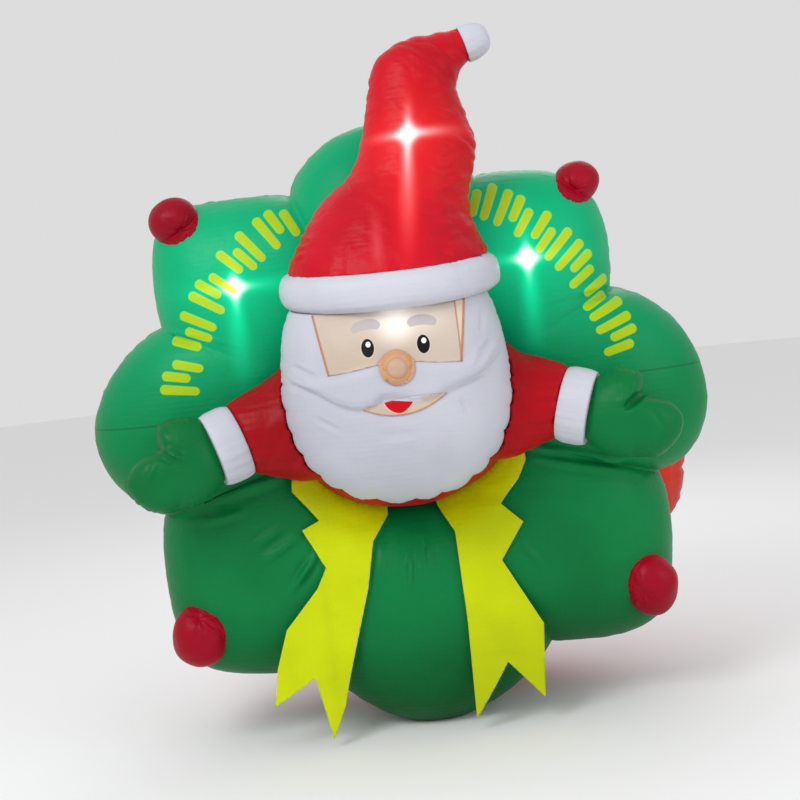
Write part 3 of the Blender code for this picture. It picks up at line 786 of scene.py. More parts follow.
# head, face, nose and hat brim; sizes in shares of the head's height

figure = {
    "height": 0.49,
    "aside": -0.024,
    "headRise": 0.122, "headOut": 0.153, "headWidth": 0.96, "headFront": 0.42, "headBack": 0.347,
    "headFullness": 0.86, "crown": 4.0, "chin": 2.15,
    "brimAside": 0.018, "brimRise": 0.46, "brimWidth": 0.931, "brimLength": 0.857, "brimHeight": 0.15,
    "hatRise": 0.445, "crownRise": 0.50, "chinDrop": 0.48,
    "nod": math.radians(7.5),
}
head = {
    "cuts": 92,
    "hills": ((0.0035, 6.5), (0.0012, 18)),
    "seam": (0.0014, 0.045, 0.0025, 0.006),
    "scallop": 0.0125, "scallopReach": 0.05, "smallScallop": 0.75, "smallBelow": 15,
    "notches": (170, 184.6, 196.5, 208.1, 221.7, 234.2, 253.1, 273.3, 286.5, 304.9, 316.6, 332.6, 345.7, 359),
    "moustache": 0.009, "moustacheEdge": 0.018, "moustacheHalf": 0.245,
    "moustacheFade": (0.15, 0.05),              # where its height starts to fade, and over what width
    "underMoustache": (0.0035, 0.010),          # depth and width of the groove below it
    # edges of the moustache, from the head's middle: (x, height)
    "moustacheTop": (
        (-0.25, 0.075), (-0.185, 0.055), (-0.127, 0.048), (-0.088, 0.054), (-0.034, 0.065), (0.0, 0.070),
        (0.041, 0.064), (0.080, 0.057), (0.135, 0.056), (0.185, 0.072), (0.25, 0.11),
    ),
    "moustacheLow": (
        (-0.25, 0.060), (-0.185, 0.028), (-0.146, 0.006), (-0.105, -0.016), (-0.070, -0.023),
        (-0.045, -0.015), (-0.030, -0.004), (0.0, -0.008), (0.033, -0.015), (0.061, -0.016),
        (0.100, -0.003), (0.135, 0.008), (0.185, 0.030), (0.25, 0.085),
    ),
    "folds": (
        (-0.215, 0.035, -0.150, 0.015, 0.006, 0.003), (0.150, 0.035, 0.200, 0.085, 0.007, 0.0035),
        (0.105, 0.002, 0.175, 0.020, 0.006, 0.003), (0.118, -0.020, 0.135, -0.050, 0.005, 0.003),
        (-0.170, -0.030, -0.120, -0.060, 0.006, 0.0025), (-0.205, 0.075, -0.150, 0.045, 0.006, 0.003),
        (0.190, 0.150, 0.178, 0.100, 0.006, 0.002), (-0.045, -0.075, 0.03, -0.08, 0.010, 0.002),
    ),
    "white": (0.57, 0.58, 0.65, 1), "whiteDeep": (0.48, 0.49, 0.56, 1),
}


def figurePoint(out, forward, up):
    start = Vector((figure["aside"] * figure["height"], -wreath["depth"] / 2, wreath["height"]))
    return start + Vector((out, -forward, up)) * figure["height"]


def headCentre():
    return figurePoint(0, figure["headOut"], figure["headRise"])


def brimCentre():
    return figurePoint(figure["brimAside"], figure["headOut"], figure["headRise"] + figure["brimRise"])


def brimNormal():
    return Vector((0, -math.sin(figure["nod"]), math.cos(figure["nod"])))


def headOutline(turn):
    across, up = math.cos(turn), math.sin(turn)
    power = figure["chin"] + (figure["crown"] - figure["chin"]) * max(0, up)
    rise = figure["crownRise"] if up > 0 else figure["chinDrop"]
    reach = (abs(across) / (figure["headWidth"] / 2)) ** power + (abs(up) / rise) ** power
    scale = figure["height"] * reach ** (-1 / power)
    return across * scale, up * scale


# The cut edge of the beard: a notch between each two soft bumps.
def scallopAt(degrees):
    notches = head["notches"]
    if not notches[0] <= degrees <= notches[-1]:
        return 0.0
    index = max(place for place in range(len(notches) - 1) if notches[place] <= degrees)
    width = notches[index + 1] - notches[index]
    bump = math.sin(math.pi * (degrees - notches[index]) / width) ** 0.6 - 0.7
    return bump * head["scallop"] * (head["smallScallop"] if width < head["smallBelow"] else 1.0)


# Depth of the head's front skin from its middle, found from its outline.
def headDepth(x, z):
    turn = math.atan2(z, x)
    across, up = headOutline(turn)
    spread = min(1.0, math.hypot(x, z) / math.hypot(across, up)) ** (1 / figure["headFullness"])
    return -figure["headFront"] * figure["height"] * math.sqrt(max(0.0, 1 - spread * spread))


def moustacheRelief(x, z):
    if abs(x) > head["moustacheHalf"]:
        return 0.0
    top, low = through(head["moustacheTop"], x), through(head["moustacheLow"], x)
    tall = max(top - low, 0.001)
    share = (z - low) / tall
    start, width = head["moustacheFade"]
    fade = bell(max(0.0, abs(x) - start), width)
    relief = 0.0
    if 0 < share < 1:
        edge = min(share, 1 - share) * tall
        relief += head["moustache"] * fade * min(1.0, edge / head["moustacheEdge"]) ** 0.6
    if low - z > -0.004:
        depth, width = head["underMoustache"]
        relief -= depth * fade * bell(low - z, width)
    return relief


def makeHead(material, tree):
    centre = headCentre()
    bm = bagMesh(headOutline, figure["headFront"] * figure["height"], figure["headBack"] * figure["height"],
                 figure["headFullness"], Matrix.Translation(centre), head["cuts"])

    def reliefAt(point, normal):
        x, y, z = point - centre
        turn = math.degrees(math.atan2(z, x))
        relief = hills(point, head["hills"]) + seamRelief(y, ripple(turn * 0.30, 3.0), head["seam"])
        relief += bell(y, head["scallopReach"], 1.5) * scallopAt(turn % 360)
        if y < -0.08:
            relief += moustacheRelief(x, z) + foldAt(x, z, head["folds"])
        return relief

    pushAlongNormals(bm, reliefAt)
    pressForward(bm, tree)
    clearBeyond(bm, brimCentre() - brimNormal() * (figure["brimHeight"] * figure["height"] / 2), brimNormal())
    return newPiece("blownHead", bm, material, "head")


face = {
    # edges of the skin panel from the head's middle, right half, from the nose up
    "edge": ((0.035, 0.062), (0.085, 0.054), (0.132, 0.050), (0.154, 0.176)),
    "proud": 0.0015, "cloth": 0.0008, "thick": 0.006, "step": 0.004, "ahead": 0.3,
    "specular": 0.2,
    "skin": (0.61, 0.52, 0.44, 1), "skinDeep": (0.52, 0.42, 0.34, 1),
    "seam": (0.44, 0.17, 0.09, 1), "seamWidth": 0.0042, "seamEdge": 0.0012,
    # each brow's place and turn, then its oval and the one taken off its underside
    "brows": ((-0.048, 0.137, 0.10), (0.062, 0.135, -0.05)),
    "browHalf": (0.029, 0.0145), "browDrop": 0.0225, "underHalf": (0.040, 0.0165),
    "brow": (0.46, 0.41, 0.41, 1), "browShade": 0.7,
    # each eye's place, then its pale rim, its black and its spark
    "eyes": ((-0.048, 0.096), (0.060, 0.092)),
    "rimHalf": (0.0143, 0.0198), "rim": (0.62, 0.55, 0.50, 1),
    "eyeHalf": (0.0125, 0.0180), "eye": (0.002, 0.0015, 0.002, 1),
    "sparkAt": (0.0015, 0.0068), "sparkHalf": (0.0050, 0.0056), "spark": (0.85, 0.85, 0.85, 1),
    # a lamp's wide light and its core, each with its strength
    "lampWide": ((0.018, 0.145), (0.125, 0.060), 0.24), "lampCore": ((0.010, 0.135), (0.052, 0.060), 0.30),
    "dart": 0.131, "pale": (0.80, 0.62, 0.50, 1),
}
mouth = {
    "aside": 0.012, "halfWidth": 0.084, "rise": -0.015, "lift": 0.007, "lower": 0.025, "upper": 0.008,
    "proud": 0.0008, "steps": 24,
    "seamHeight": (0.0038, 0.0028),
    # the tongue: its middle, half width, half height, slant and roundness
    "tongueAt": (0.0025, -0.0075), "tongueHalf": (0.0310, 0.0285), "tongueSlant": 0.14, "tongueRound": 1.6,
    "red": (0.52, 0.0, 0.006, 1), "lip": (0.85, 0.42, 0.36, 1),
    # the moustache's lower edge over it: height, slant, and how far it reaches to the sides
    "coverAt": (-0.0120, -0.0105), "coverSlant": 0.16, "coverReach": (0.050, 0.034),
}


# A panel cut to its outline and laid on the head's skin.
def layPanel(name, outline, tree, proud, material, node):
    centre = headCentre()
    bm = bmesh.new()
    ahead = centre.y - face["ahead"]
    bm.faces.new([bm.verts.new((centre.x + x, ahead, centre.z + z)) for x, z in outline])
    for part, normal in ((0, (1, 0, 0)), (1, (0, 0, 1))):
        values = [point[part] for point in outline]
        low, high = min(values), max(values)
        cutStrips(bm, normal, centre.dot(Vector(normal)) + low, face["step"], int((high - low) / face["step"]) + 1)
    for vertex in bm.verts:
        point, _, _, _ = tree.ray_cast(vertex.co, backwards)
        skin = centre.y + headDepth(vertex.co.x - centre.x, vertex.co.z - centre.z)
        vertex.co.y = (skin if point is None else point.y) - proud
    front = thickenForward(bm, face["cloth"])
    for vertex in set(bm.verts) - set(front):
        vertex.co.y += face["thick"]
    newPiece(name, bm, material, node)


def faceMaterial():
    web = clothWeb("skinNylon", face["skin"], face["skinDeep"], 0.6)
    web.shader.inputs["Specular IOR Level"].default_value = face["specular"]
    centre = headCentre()

    def spotAt(place, half, turn=0.0, outer=1.0, inner=0.0):
        return web.spot((centre.x + place[0], centre.z + place[1]), half, turn, outer, inner)

    (wideAt, wideHalf, widePower), (coreAt, coreHalf, corePower) = face["lampWide"], face["lampCore"]
    glow = web.add3(spotAt(coreAt, coreHalf), corePower, web.times(spotAt(wideAt, wideHalf), widePower))
    for x, z, turn in face["brows"]:
        arch = spotAt((x, z), face["browHalf"], turn, 1.02, 0.97)
        brow = web.times(arch, spotAt((x, z - face["browDrop"]), face["underHalf"], turn, 0.97, 1.02))
        web.colour = web.mix(brow, web.colour, face["brow"])
        glow = web.times(glow, web.add3(brow, -face["browShade"], 1.0))
    for x, z in face["eyes"]:
        rim = spotAt((x, z), face["rimHalf"], 0.0, 1.02, 0.96)
        eye = spotAt((x, z), face["eyeHalf"], 0.0, 1.03, 0.96)
        spark = spotAt((x + face["sparkAt"][0], z + face["sparkAt"][1]), face["sparkHalf"], 0.0, 1.05, 0.9)
        web.colour = web.mix(rim, web.colour, face["rim"])
        web.colour = web.mix(eye, web.colour, face["eye"])
        web.colour = web.mix(spark, web.colour, face["spark"])
        glow = web.times(glow, web.less(1.0, rim))
    # a dart at the right of the panel, with paler cloth beyond it
    dart = centre.x + face["dart"]
    web.colour = web.mix(web.ramp(web.x, dart - 0.001, dart + 0.003, 0.0, 0.6), web.colour, face["pale"])
    stitched = web.ramp(web.apart(web.x, dart), 0.0026, 0.0008, 0.0, 0.75)
    web.colour = web.mix(stitched, web.colour, face["seam"])
    # stitching along the two slanted sides
    (lowX, lowZ), (highX, highZ) = face["edge"][-2:]
    slant = (highX - lowX) / (highZ - lowZ)
    side = web.add3(web.z, slant, lowX - (centre.z + lowZ) * slant)
    inward = web.less(side, web.apart(web.x, centre.x))
    stitched = web.ramp(inward, face["seamWidth"] + face["seamEdge"], face["seamWidth"], 0.0, 0.85)
    web.colour = web.mix(stitched, web.colour, face["seam"])
    return finishWeb(web, web.times(glow, web.less(1.0, stitched)))


def mouthMaterial():
    web = clothWeb("mouthNylon", face["skin"], face["skinDeep"], 0.5)
    centre = headCentre()
    fromMiddle = web.less(web.x, centre.x)
    # the tongue is a bowl that narrows downwards
    (atX, atZ), (halfWidth, halfHeight) = mouth["tongueAt"], mouth["tongueHalf"]
    fromTongue = web.apart(web.x, centre.x + atX)
    level = web.add3(fromMiddle, mouth["tongueSlant"], centre.z + atZ)
    aside = web.math("POWER", web.math("DIVIDE", fromTongue, halfWidth), mouth["tongueRound"])
    down = web.math("POWER", web.math("DIVIDE", web.apart(web.z, level), halfHeight), mouth["tongueRound"])
    reach = web.plus(aside, down)
    web.colour = web.mix(web.ramp(reach, 1.14, 1.05), web.colour, mouth["lip"])
    web.colour = web.mix(web.ramp(reach, 1.0, 0.92), web.colour, mouth["red"])
    # the moustache comes down over its top on a slant
    over = web.add3(fromMiddle, mouth["coverSlant"], web.z)
    low, high = mouth["coverAt"]
    cover = web.ramp(over, centre.z + low, centre.z + high)
    cover = web.times(cover, web.ramp(fromTongue, *mouth["coverReach"]))
    web.colour = web.mix(cover, web.colour, head["white"])
    # stitching along the lower edge
    across = web.math("DIVIDE", web.less(web.x, centre.x + mouth["aside"]), mouth["halfWidth"])
    bow = web.times(web.times(across, across), mouth["lower"])
    edge = web.add3(across, mouth["lift"], centre.z + mouth["rise"] - mouth["lower"])
    above = web.less(web.z, web.plus(edge, bow))
    web.colour = web.mix(web.ramp(above, *mouth["seamHeight"], 0.0, 0.7), web.colour, face["seam"])
    return finishWeb(web)


def mouthOutline():
    lower, upper = [], []
    for step in range(mouth["steps"] + 1):
        across = math.cos(math.pi * step / mouth["steps"])
        bow = 1 - across**2
        x, rise = mouth["aside"] + mouth["halfWidth"] * across, mouth["rise"] + mouth["lift"] * across
        lower.append((x, rise - mouth["lower"] * bow))
        upper.append((x, rise + mouth["upper"] * bow))
    return lower + upper[-2:0:-1]


nose = {
    "radius": 0.069, "aside": 0.004, "rise": 0.10, "lift": 0.003, "sunk": 0.65, "inset": 0.002, "cuts": 22,
    "off": (0.0035, 0.06),                      # gap to the head's skin, and how deep it is looked for
    # distances from the middle are in radii
    "puckers": (0.0009, 0.78, 0.16), "stitches": (0.0022, 0.60, 0.07),
    "dimples": (0.004, 0.85, 0.003, 0.005),     # depth, distance to each side, drop and width
    # painted shade round the ball's rim: the edges of its band, in radii, and its darker, more orange colour ring
    "rimShadeInner": (0.54, 0.62), "rimShadeOuter": (1.10, 0.90),
    "skin": (0.60, 0.41, 0.31, 1), "skinDeep": (0.53, 0.35, 0.26, 1), "ring": (0.60, 0.30, 0.13, 1),
}


def noseCentre():
    radius = nose["radius"] * figure["height"]
    ahead = figure["headFront"] * figure["height"] - radius * (1 - nose["sunk"]) + nose["inset"]
    return headCentre() + Vector((nose["aside"], -ahead, nose["rise"] * figure["height"] + nose["lift"]))


def makeNose(material, tree):
    radius = nose["radius"] * figure["height"]
    centre = noseCentre()

    # the ring of stitches draws the cloth in, and folds fan out from it
    def reliefAt(point, normal):
        dx, dz = point.x - centre.x, point.z - centre.z
        far = math.hypot(dx, dz) / radius
        height, distance, width = nose["puckers"]
        relief = height * ripple(math.atan2(dz, dx) * 3.2) * bell(far - distance, width)
        depth, distance, width = nose["stitches"]
        relief -= depth * bell(far - distance, width)
        depth, distance, drop, width = nose["dimples"]
        return relief - depth * bell(abs(dx) - radius * distance, width) * bell(dz + drop, width)

    bm = bagMesh(lambda turn: (radius * math.cos(turn), radius * math.sin(turn)), radius, radius, 1.0,
                 Matrix.Translation(centre), nose["cuts"])
    pushAlongNormals(bm, reliefAt)
    pressOff(bm, [tree], *nose["off"])
    newPiece("stuffedNose", bm, material, "nose")


def noseMaterial():
    web = clothWeb("noseNylon", nose["skin"], nose["skinDeep"], 0.4)
    centre = noseCentre()
    radius = nose["radius"] * figure["height"]
    away = web.ellipse((centre.x, centre.z), (radius, radius))
    # painted shade: from the stitches out to the ball's rim the cloth is painted darker and more orange
    ring = web.times(web.ramp(away, *nose["rimShadeInner"]), web.ramp(away, *nose["rimShadeOuter"]))
    web.colour = web.mix(web.times(ring, 0.75), web.colour, nose["ring"])
    line = web.ramp(web.apart(away, nose["stitches"][1]), 0.05, 0.01)
    web.colour = web.mix(web.times(line, 0.45), web.colour, face["seam"])
    return finishWeb(web)


brim = {
    # share of the height, and its width there
    "rim": ((0.0, 0.935), (0.18, 0.985), (0.5, 1.0), (0.82, 0.97), (1.0, 0.90)),
    "around": 220, "along": 34,
    "round": 0.03, "pucker": 0.0022, "hill": 0.003,
}


def makeBrim(material, tree):
    place = Matrix.Translation(brimCentre()) @ Matrix.Rotation(figure["nod"], 4, "X")
    halfWidth, halfLength, halfHeight = (
        figure[part] * figure["height"] / 2 for part in ("brimWidth", "brimLength", "brimHeight")
    )

    def pointAt(turn, share):
        across, along = math.cos(turn), math.sin(turn)
        fromMiddle = abs(2 * share - 1)
        reach = through(brim["rim"], share) * (1 - brim["round"] * fromMiddle ** 6)
        wrinkle = brim["pucker"] * ripple(math.degrees(turn) * 0.17, 2.0) * fromMiddle ** 2
        wrinkle += brim["hill"] * noise.noise(Vector((across * 3, along * 3, share)))
        return place @ Vector(((halfWidth * reach + wrinkle) * across, (halfLength * reach + wrinkle) * along,
                               halfHeight * (2 * share - 1)))

    bm = tubeMesh(pointAt, brim["around"], brim["along"])
    pressForward(bm, tree)
    newPiece("stuffedBrim", bm, material, "hat_brim")


hat = {
    # left and right edge of each ring from the brim up, in shares of the head's height
    "rings": (
        (-0.445, 0.000, 0.445, 0.000), (-0.422, 0.104, 0.427, 0.090), (-0.357, 0.224, 0.398, 0.182),
        (-0.255, 0.361, 0.376, 0.290), (-0.139, 0.453, 0.402, 0.414), (-0.076, 0.553, 0.437, 0.537),
        (-0.037, 0.673, 0.408, 0.665), (-0.002, 0.816, 0.378, 0.773), (0.045, 0.937, 0.392, 0.829),
        (0.159, 1.008, 0.412, 0.867), (0.288, 1.027, 0.429, 0.884), (0.400, 1.039, 0.443, 0.892),
    ),
    "leanBack": 0.10,
    "depth": 0.88,
    "around": 150, "along": 230,
    "gap": 0.0004,
    # distance out and size of each ring of the tip
    "tipAround": 72, "tipAlong": 28,
    "tip": ((0.0, 1.0), (0.045, 1.0), (0.09, 0.80), (0.110, 0.50), (0.118, 0.0)),
    "folds": (
        (0.119, 1.319, 0.168, 1.297, 0.006, 0.0028), (0.118, 1.269, 0.192, 1.230, 0.007, 0.003),
        (0.126, 1.196, 0.185, 1.220, 0.007, 0.0028), (0.110, 1.150, 0.185, 1.173, 0.008, 0.004),
        (0.095, 1.107, 0.176, 1.129, 0.008, 0.0035), (0.120, 1.053, 0.185, 1.077, 0.007, 0.0025),
        (-0.069, 1.208, -0.045, 1.150, 0.006, 0.0025), (-0.179, 1.097, -0.150, 1.080, 0.005, 0.003),
        (-0.196, 1.043, -0.165, 1.055, 0.005, 0.003), (-0.190, 1.070, -0.160, 1.066, 0.005, 0.003),
        (0.100, 1.385, 0.165, 1.372, 0.007, 0.0025), (0.100, 1.345, 0.170, 1.350, 0.007, 0.0025),
    ),
    "hills": ((0.0032, 8),), "fine": 0.0012,
    "creases": 0.0030, "creasesFrom": (0.07, 0.018), "creasesLeft": 0.30,
    "sidePuckers": 0.0028, "lowPuckers": 0.0018, "lowReach": (0.04, 0.05), "middleY": -0.26,
    # the lamp: star, its arms up, down, right and left, halo and column below it; then a pale patch, a painted
    # highlight left of the column
    "star": (0.066, 1.268), "starSize": 0.0155, "arms": (0.050, 0.13, 0.080, 0.050), "lampLean": 0.12,
    "halo": ((0.070, 1.25), (0.19, 0.20)), "column": ((0.050, 1.12), (0.030, 0.17)),
    "pale": ((-0.019, 1.05), (0.022, 0.10)),
    "glow": {"star": 0.85, "halo": 0.24, "column": 0.14, "pale": 0.12, "top": 0.04},
    "whiter": {"column": 0.12, "pale": 0.45},
    "glowRed": (1.0, 0.035, 0.02, 1), "glowWhite": (1.0, 0.80, 0.80, 1),
    "red": (0.55, 0.002, 0.014, 1), "redDeep": (0.36, 0.0, 0.008, 1),
}


def hatRing(share):
    place = share * (len(hat["rings"]) - 1)
    leftX, leftZ, rightX, rightZ = (
        through([(index, ring[part]) for index, ring in enumerate(hat["rings"])], place) for part in range(4)
    )
    back = hat["leanBack"] * leftZ
    start = figurePoint(figure["brimAside"], figure["headOut"], figure["headRise"] + figure["hatRise"])
    left = start + Vector((leftX, back, leftZ)) * figure["height"]
    right = start + Vector((rightX, back, rightZ)) * figure["height"]
    half = (right - left) / 2
    return (left + right) / 2, half, half.length * hat["depth"]


def makeHat(material, tree):
    rings = {}

    def pointAt(turn, share):
        key = round(share, 5)
        if key not in rings:
            rings[key] = hatRing(share)
        centre, half, depth = rings[key]
        return centre + half * math.cos(turn) + Vector((0, depth * math.sin(turn), 0))

    low = brimCentre().z

    def reliefAt(point, normal):
        x, y, z = point
        relief = hills(point, hat["hills"])
        relief += hat["fine"] * noise.noise(Vector((x * 30, y * 12, z * 55 + x * 40)))
        # sharp little creases, most of them right of the middle
        sharp = 1 - 2.4 * abs(noise.noise(Vector((x * 15, y * 9, z * 26 + x * 18))))
        middle, width = hat["creasesFrom"]
        few = hat["creasesLeft"]
        relief += hat["creases"] * sharp * (few + (1 - few) / (1 + math.exp((middle - x) / width)))
        # puckers at the two side seams and above the brim
        side = bell(1 - abs(normal.x), 0.10, 1)
        relief += hat["sidePuckers"] * side * ripple(z * 34, 4.0 if x < 0 else 8.0)
        start, width = hat["lowReach"]
        above = bell(max(0.0, z - low - start), width, 1)
        round360 = math.degrees(math.atan2(y - hat["middleY"], x))
        relief += hat["lowPuckers"] * above * ripple(round360 * 0.22, 6.0)
        if y < -0.2:
            relief += foldAt(x, z, hat["folds"])
        return relief

    bm = tubeMesh(pointAt, hat["around"], hat["along"])
    pushAlongNormals(bm, reliefAt)
    rise = figure["brimHeight"] * figure["height"] / 2 + hat["gap"]
    clearBeyond(bm, brimCentre() + brimNormal() * rise, -brimNormal())
    pressForward(bm, tree)
    newPiece("blownHat", bm, material, "hat")


def makeHatTip(material):
    centre, half, depth = hatRing(1.0)
    along = half.cross(backwards).normalized()
    outs = [(index, out) for index, (out, _) in enumerate(hat["tip"])]
    sizes = [(index, size) for index, (_, size) in enumerate(hat["tip"])]

    def pointAt(turn, share):
        place = share * (len(hat["tip"]) - 1)
        size = max(0.0, through(sizes, place)) if share < 1 else 0.0
        size *= 1 + 0.05 * ripple(math.degrees(turn) * 0.05, 5.0) * (1 - share)
        return (centre + along * (hat["gap"] + through(outs, place) * figure["height"])
                + half * size * math.cos(turn) + Vector((0, depth * size * math.sin(turn), 0)))

    bm = tubeMesh(pointAt, hat["tipAround"], hat["tipAlong"])
    newPiece("blownHatTip", bm, material, "hat_tip")


def hatMaterial():
    web = clothWeb("hatNylon", hat["red"], hat["redDeep"], 1.3, (0.5, 1.8))
    star = web.star(hat["star"], hat["starSize"], hat["arms"], hat["lampLean"])
    # the pale patch is a painted highlight, laid on as glow
    halo, pale = web.spot(*hat["halo"]), web.spot(*hat["pale"])
    column = web.spot(*hat["column"], -hat["lampLean"])
    power, whiter = hat["glow"], hat["whiter"]
    glow = web.add3(star, power["star"], web.times(halo, power["halo"]))
    glow = web.add3(pale, power["pale"], web.add3(column, power["column"], glow))
    glow = web.times(glow, web.ramp(web.y, -0.20, -0.30))
    glow = web.add3(web.ramp(web.z, 1.0, 1.2), power["top"], glow)
    # the star, the column and the painted highlight make the glow whiter
    white = web.plus(web.ramp(star, 0.06, 0.75), web.times(pale, whiter["pale"]))
    white = web.add3(column, whiter["column"], white)
    return finishWeb(web, glow, web.mix(white, hat["glowRed"], hat["glowWhite"]))


# coat, cuffs and mittens

coat = {
    "overHole": 0.045, "underHole": 0.014, "drop": 0.041, "sunk": 0.153, "front": 0.388, "back": 0.47,
    "fullness": 0.85, "cuts": 40,
    # share of the sleeve's length, and its place from the head's start: out, forwards and up
    "sleeve": ((0.0, (0.184, -0.010, 0.106)), (0.5, (0.446, 0.027, 0.004)), (1.0, (0.692, 0.108, -0.022))),
    "shoulder": 0.70, "wrist": 0.306, "sleeveDepth": 0.92,
    "armForward": math.radians(17), "armDown": math.radians(16),
    "sleeveAround": 72, "sleeveAlong": 40,
    "cuffLength": 0.127, "cuffAround": 120, "cuffAlong": 22, "cuffPuff": 0.010, "gap": 0.0004,
    "voxel": 0.0062, "relaxed": 6, "pressRelaxed": 4, "pressDeepest": 0.03,
    "hills": ((0.004, 7), (0.0015, 21)),
    "wristPuckers": (0.0024, 0.07, 0.05),       # height, distance from the wrist and width
    "armpitFolds": (0.003, 0.235, 0.05),        # height, distance from the middle and width
    "red": (0.42, 0.0, 0.006, 1), "redDeep": (0.30, 0.0, 0.004, 1),
}
mitten = {
    "palm": 0.133, "halfThickness": 0.118, "fullness": 0.75, "cuts": 52, "gap": 0.0008,
    "hills": ((0.0030, 13), (0.0012, 30)),
    "seam": (0.0020, 0.026, 0.0022, 0.004),
    "crotch": 56,                               # degrees, between the thumb and the palm
    "crotchFold": (0.004, 0.012, 0.0085, 0.010), "palmFold": (0.055, 0.030, 0.095, -0.01, 0.006, 0.002),
    # degrees, and reach in shares of the head's height
    "outline": (
        (-62, 0.184), (-40, 0.224), (-14, 0.248), (4, 0.254), (22, 0.216), (40, 0.155), (57, 0.122),
        (66, 0.152), (76, 0.190), (92, 0.196), (115, 0.194), (150, 0.200), (190, 0.194), (240, 0.180),
    ),
    "green": (0.0, 0.165, 0.040, 1), "greenDeep": (0.0, 0.115, 0.024, 1),
}


def armFrame(side):
    level = math.cos(coat["armDown"])
    along = Vector((side * math.cos(coat["armForward"]) * level, -math.sin(coat["armForward"]) * level,
                    -math.sin(coat["armDown"])))
    away = (Vector((0, 1, 0)) - along * along.y).normalized()
    return along, away, along.cross(away) * side


def armRing(centre, along, halfHeight, side, turn):
    up = armFrame(side)[2]
    up = (up - along * up.dot(along)).normalized() * halfHeight
    away = along.cross(up) * coat["sleeveDepth"]
    return centre + up * math.cos(turn) + away * math.sin(turn)


def sleeveAt(side, share):
    parts = [[(place, point[part]) for place, point in coat["sleeve"]] for part in range(3)]
    out, forward, up = (through(values, share) for values in parts)
    return figurePoint(side * out, forward, up)


# Cloth behind the head goes back to its rear, and cloth in the wreath comes forward or into its hole.
def pressCoat(bm, ringTree, headTree):
    moved = []
    for vertex in bm.verts:
        start = vertex.co.copy()
        if isInside(headTree, vertex.co):
            point, _, _, _ = headTree.ray_cast(vertex.co, backwards)
            if point is not None:
                vertex.co.y = point.y + skinGap
        behindHead = vertex.co != start
        if isInside(ringTree, vertex.co):
            inward = Vector((-vertex.co.x, 0, wreath["height"] - vertex.co.z)).normalized()
            front, _, _, forward = ringTree.ray_cast(vertex.co, forwards)
            inner, _, _, aside = ringTree.ray_cast(vertex.co, inward)
            if front is not None and (inner is None or (forward < aside and not behindHead)):
                vertex.co = front + forwards * skinGap
            elif inner is not None:
                vertex.co = inner + inward * skinGap
        if vertex.co != start:
            moved.append(vertex)
    for _ in range(coat["pressRelaxed"]):
        relax(bm, moved, 1)
        pressOff(bm, [ringTree, headTree], skinGap, coat["pressDeepest"])


def sleeveMesh(side):
    size = figure["height"]

    def pointAt(turn, share):
        direction = sleeveAt(side, min(1, share + 0.02)) - sleeveAt(side, max(0, share - 0.02))
        direction = direction.normalized().lerp(armFrame(side)[0], max(0.0, share - 0.5) * 2).normalized()
        height = (coat["shoulder"] + (coat["wrist"] - coat["shoulder"]) * share) * size / 2
        return armRing(sleeveAt(side, share), direction, height, side, turn)

    bm = tubeMesh(pointAt, coat["sleeveAround"], coat["sleeveAlong"])
    closeHoles(bm)
    bmesh.ops.recalc_face_normals(bm, faces=bm.faces)
    return bm


# The chest and both sleeves, made one skin by a remesh.
def coatSkin():
    size = figure["height"]
    halfWidth, halfHeight = wreath["hole"] + coat["overHole"], wreath["hole"] - coat["underHole"]
    chest = bagMesh(lambda turn: (halfWidth * math.cos(turn), halfHeight * math.sin(turn)),
                    coat["front"] * size, coat["back"] * size, coat["fullness"],
                    Matrix.Translation(figurePoint(0, -coat["sunk"], -coat["drop"])), coat["cuts"])
    mesh = bpy.data.meshes.new("coatRough")
    for side in (-1, 1):
        sleeve = sleeveMesh(side)
        part = bpy.data.meshes.new("sleeveRough")
        sleeve.to_mesh(part)
        sleeve.free()
        chest.from_mesh(part)
        bpy.data.meshes.remove(part)
    chest.to_mesh(mesh)
    chest.free()
    rough = bpy.data.objects.new("coatRough", mesh)
    bpy.context.scene.collection.objects.link(rough)
    remesh = rough.modifiers.new("join", "REMESH")
    remesh.mode = "VOXEL"
    remesh.voxel_size = coat["voxel"]
    bpy.context.view_layer.update()
    joined = bpy.data.meshes.new_from_object(rough.evaluated_get(bpy.context.evaluated_depsgraph_get()))
    bpy.data.objects.remove(rough)
    bm = bmesh.new()
    bm.from_mesh(joined)
    bpy.data.meshes.remove(joined)
    relax(bm, bm.verts, coat["relaxed"])
    return bm


def makeCoat(material, ringTree, headTree):
    wrists = {side: sleeveAt(side, 1.0) for side in (-1, 1)}

    def reliefAt(point, normal):
        side = -1 if point.x < 0 else 1
        offset = point - wrists[side]
        turn = math.degrees(math.atan2(offset.z, offset.y))
        height, distance, width = coat["wristPuckers"]
        relief = hills(point, coat["hills"])
        relief += height * bell(offset.length - distance, width) * ripple(turn * 0.12, side)
        # slanting folds where the sleeve leaves the chest
        height, distance, width = coat["armpitFolds"]
        near = bell(abs(point.x) - distance, width)
        return relief + height * near * ripple(point.z * 19 + abs(point.x) * 26, side * 3.0)

    bm = coatSkin()
    pushAlongNormals(bm, reliefAt)
    pressCoat(bm, ringTree, headTree)
    for side, wrist in wrists.items():
        clearBeyond(bm, wrist, armFrame(side)[0])
        closeHoles(bm)
    return newPiece("blownCoat", bm, material, "coat")


def makeCuff(side, word, material, tree):
    size = figure["height"]
    along = armFrame(side)[0]
    start = sleeveAt(side, 1.0)

    def pointAt(turn, share):
        puff = coat["cuffPuff"] * (1 - abs(2 * share - 1) ** 3) * size
        wrinkle = 0.0012 * ripple(math.degrees(turn) * 0.08, side * 2.0)
        wrinkle += 0.0015 * noise.noise(Vector((turn, share * 2, side)))
        place = start + along * (coat["gap"] + coat["cuffLength"] * size * share)
        return armRing(place, along, coat["wrist"] / 2 * size + puff + wrinkle, side, turn)

    bm = tubeMesh(pointAt, coat["cuffAround"], coat["cuffAlong"])
    pressForward(bm, tree)
    newPiece("cuffBand_" + word, bm, material, "cuff_" + word)


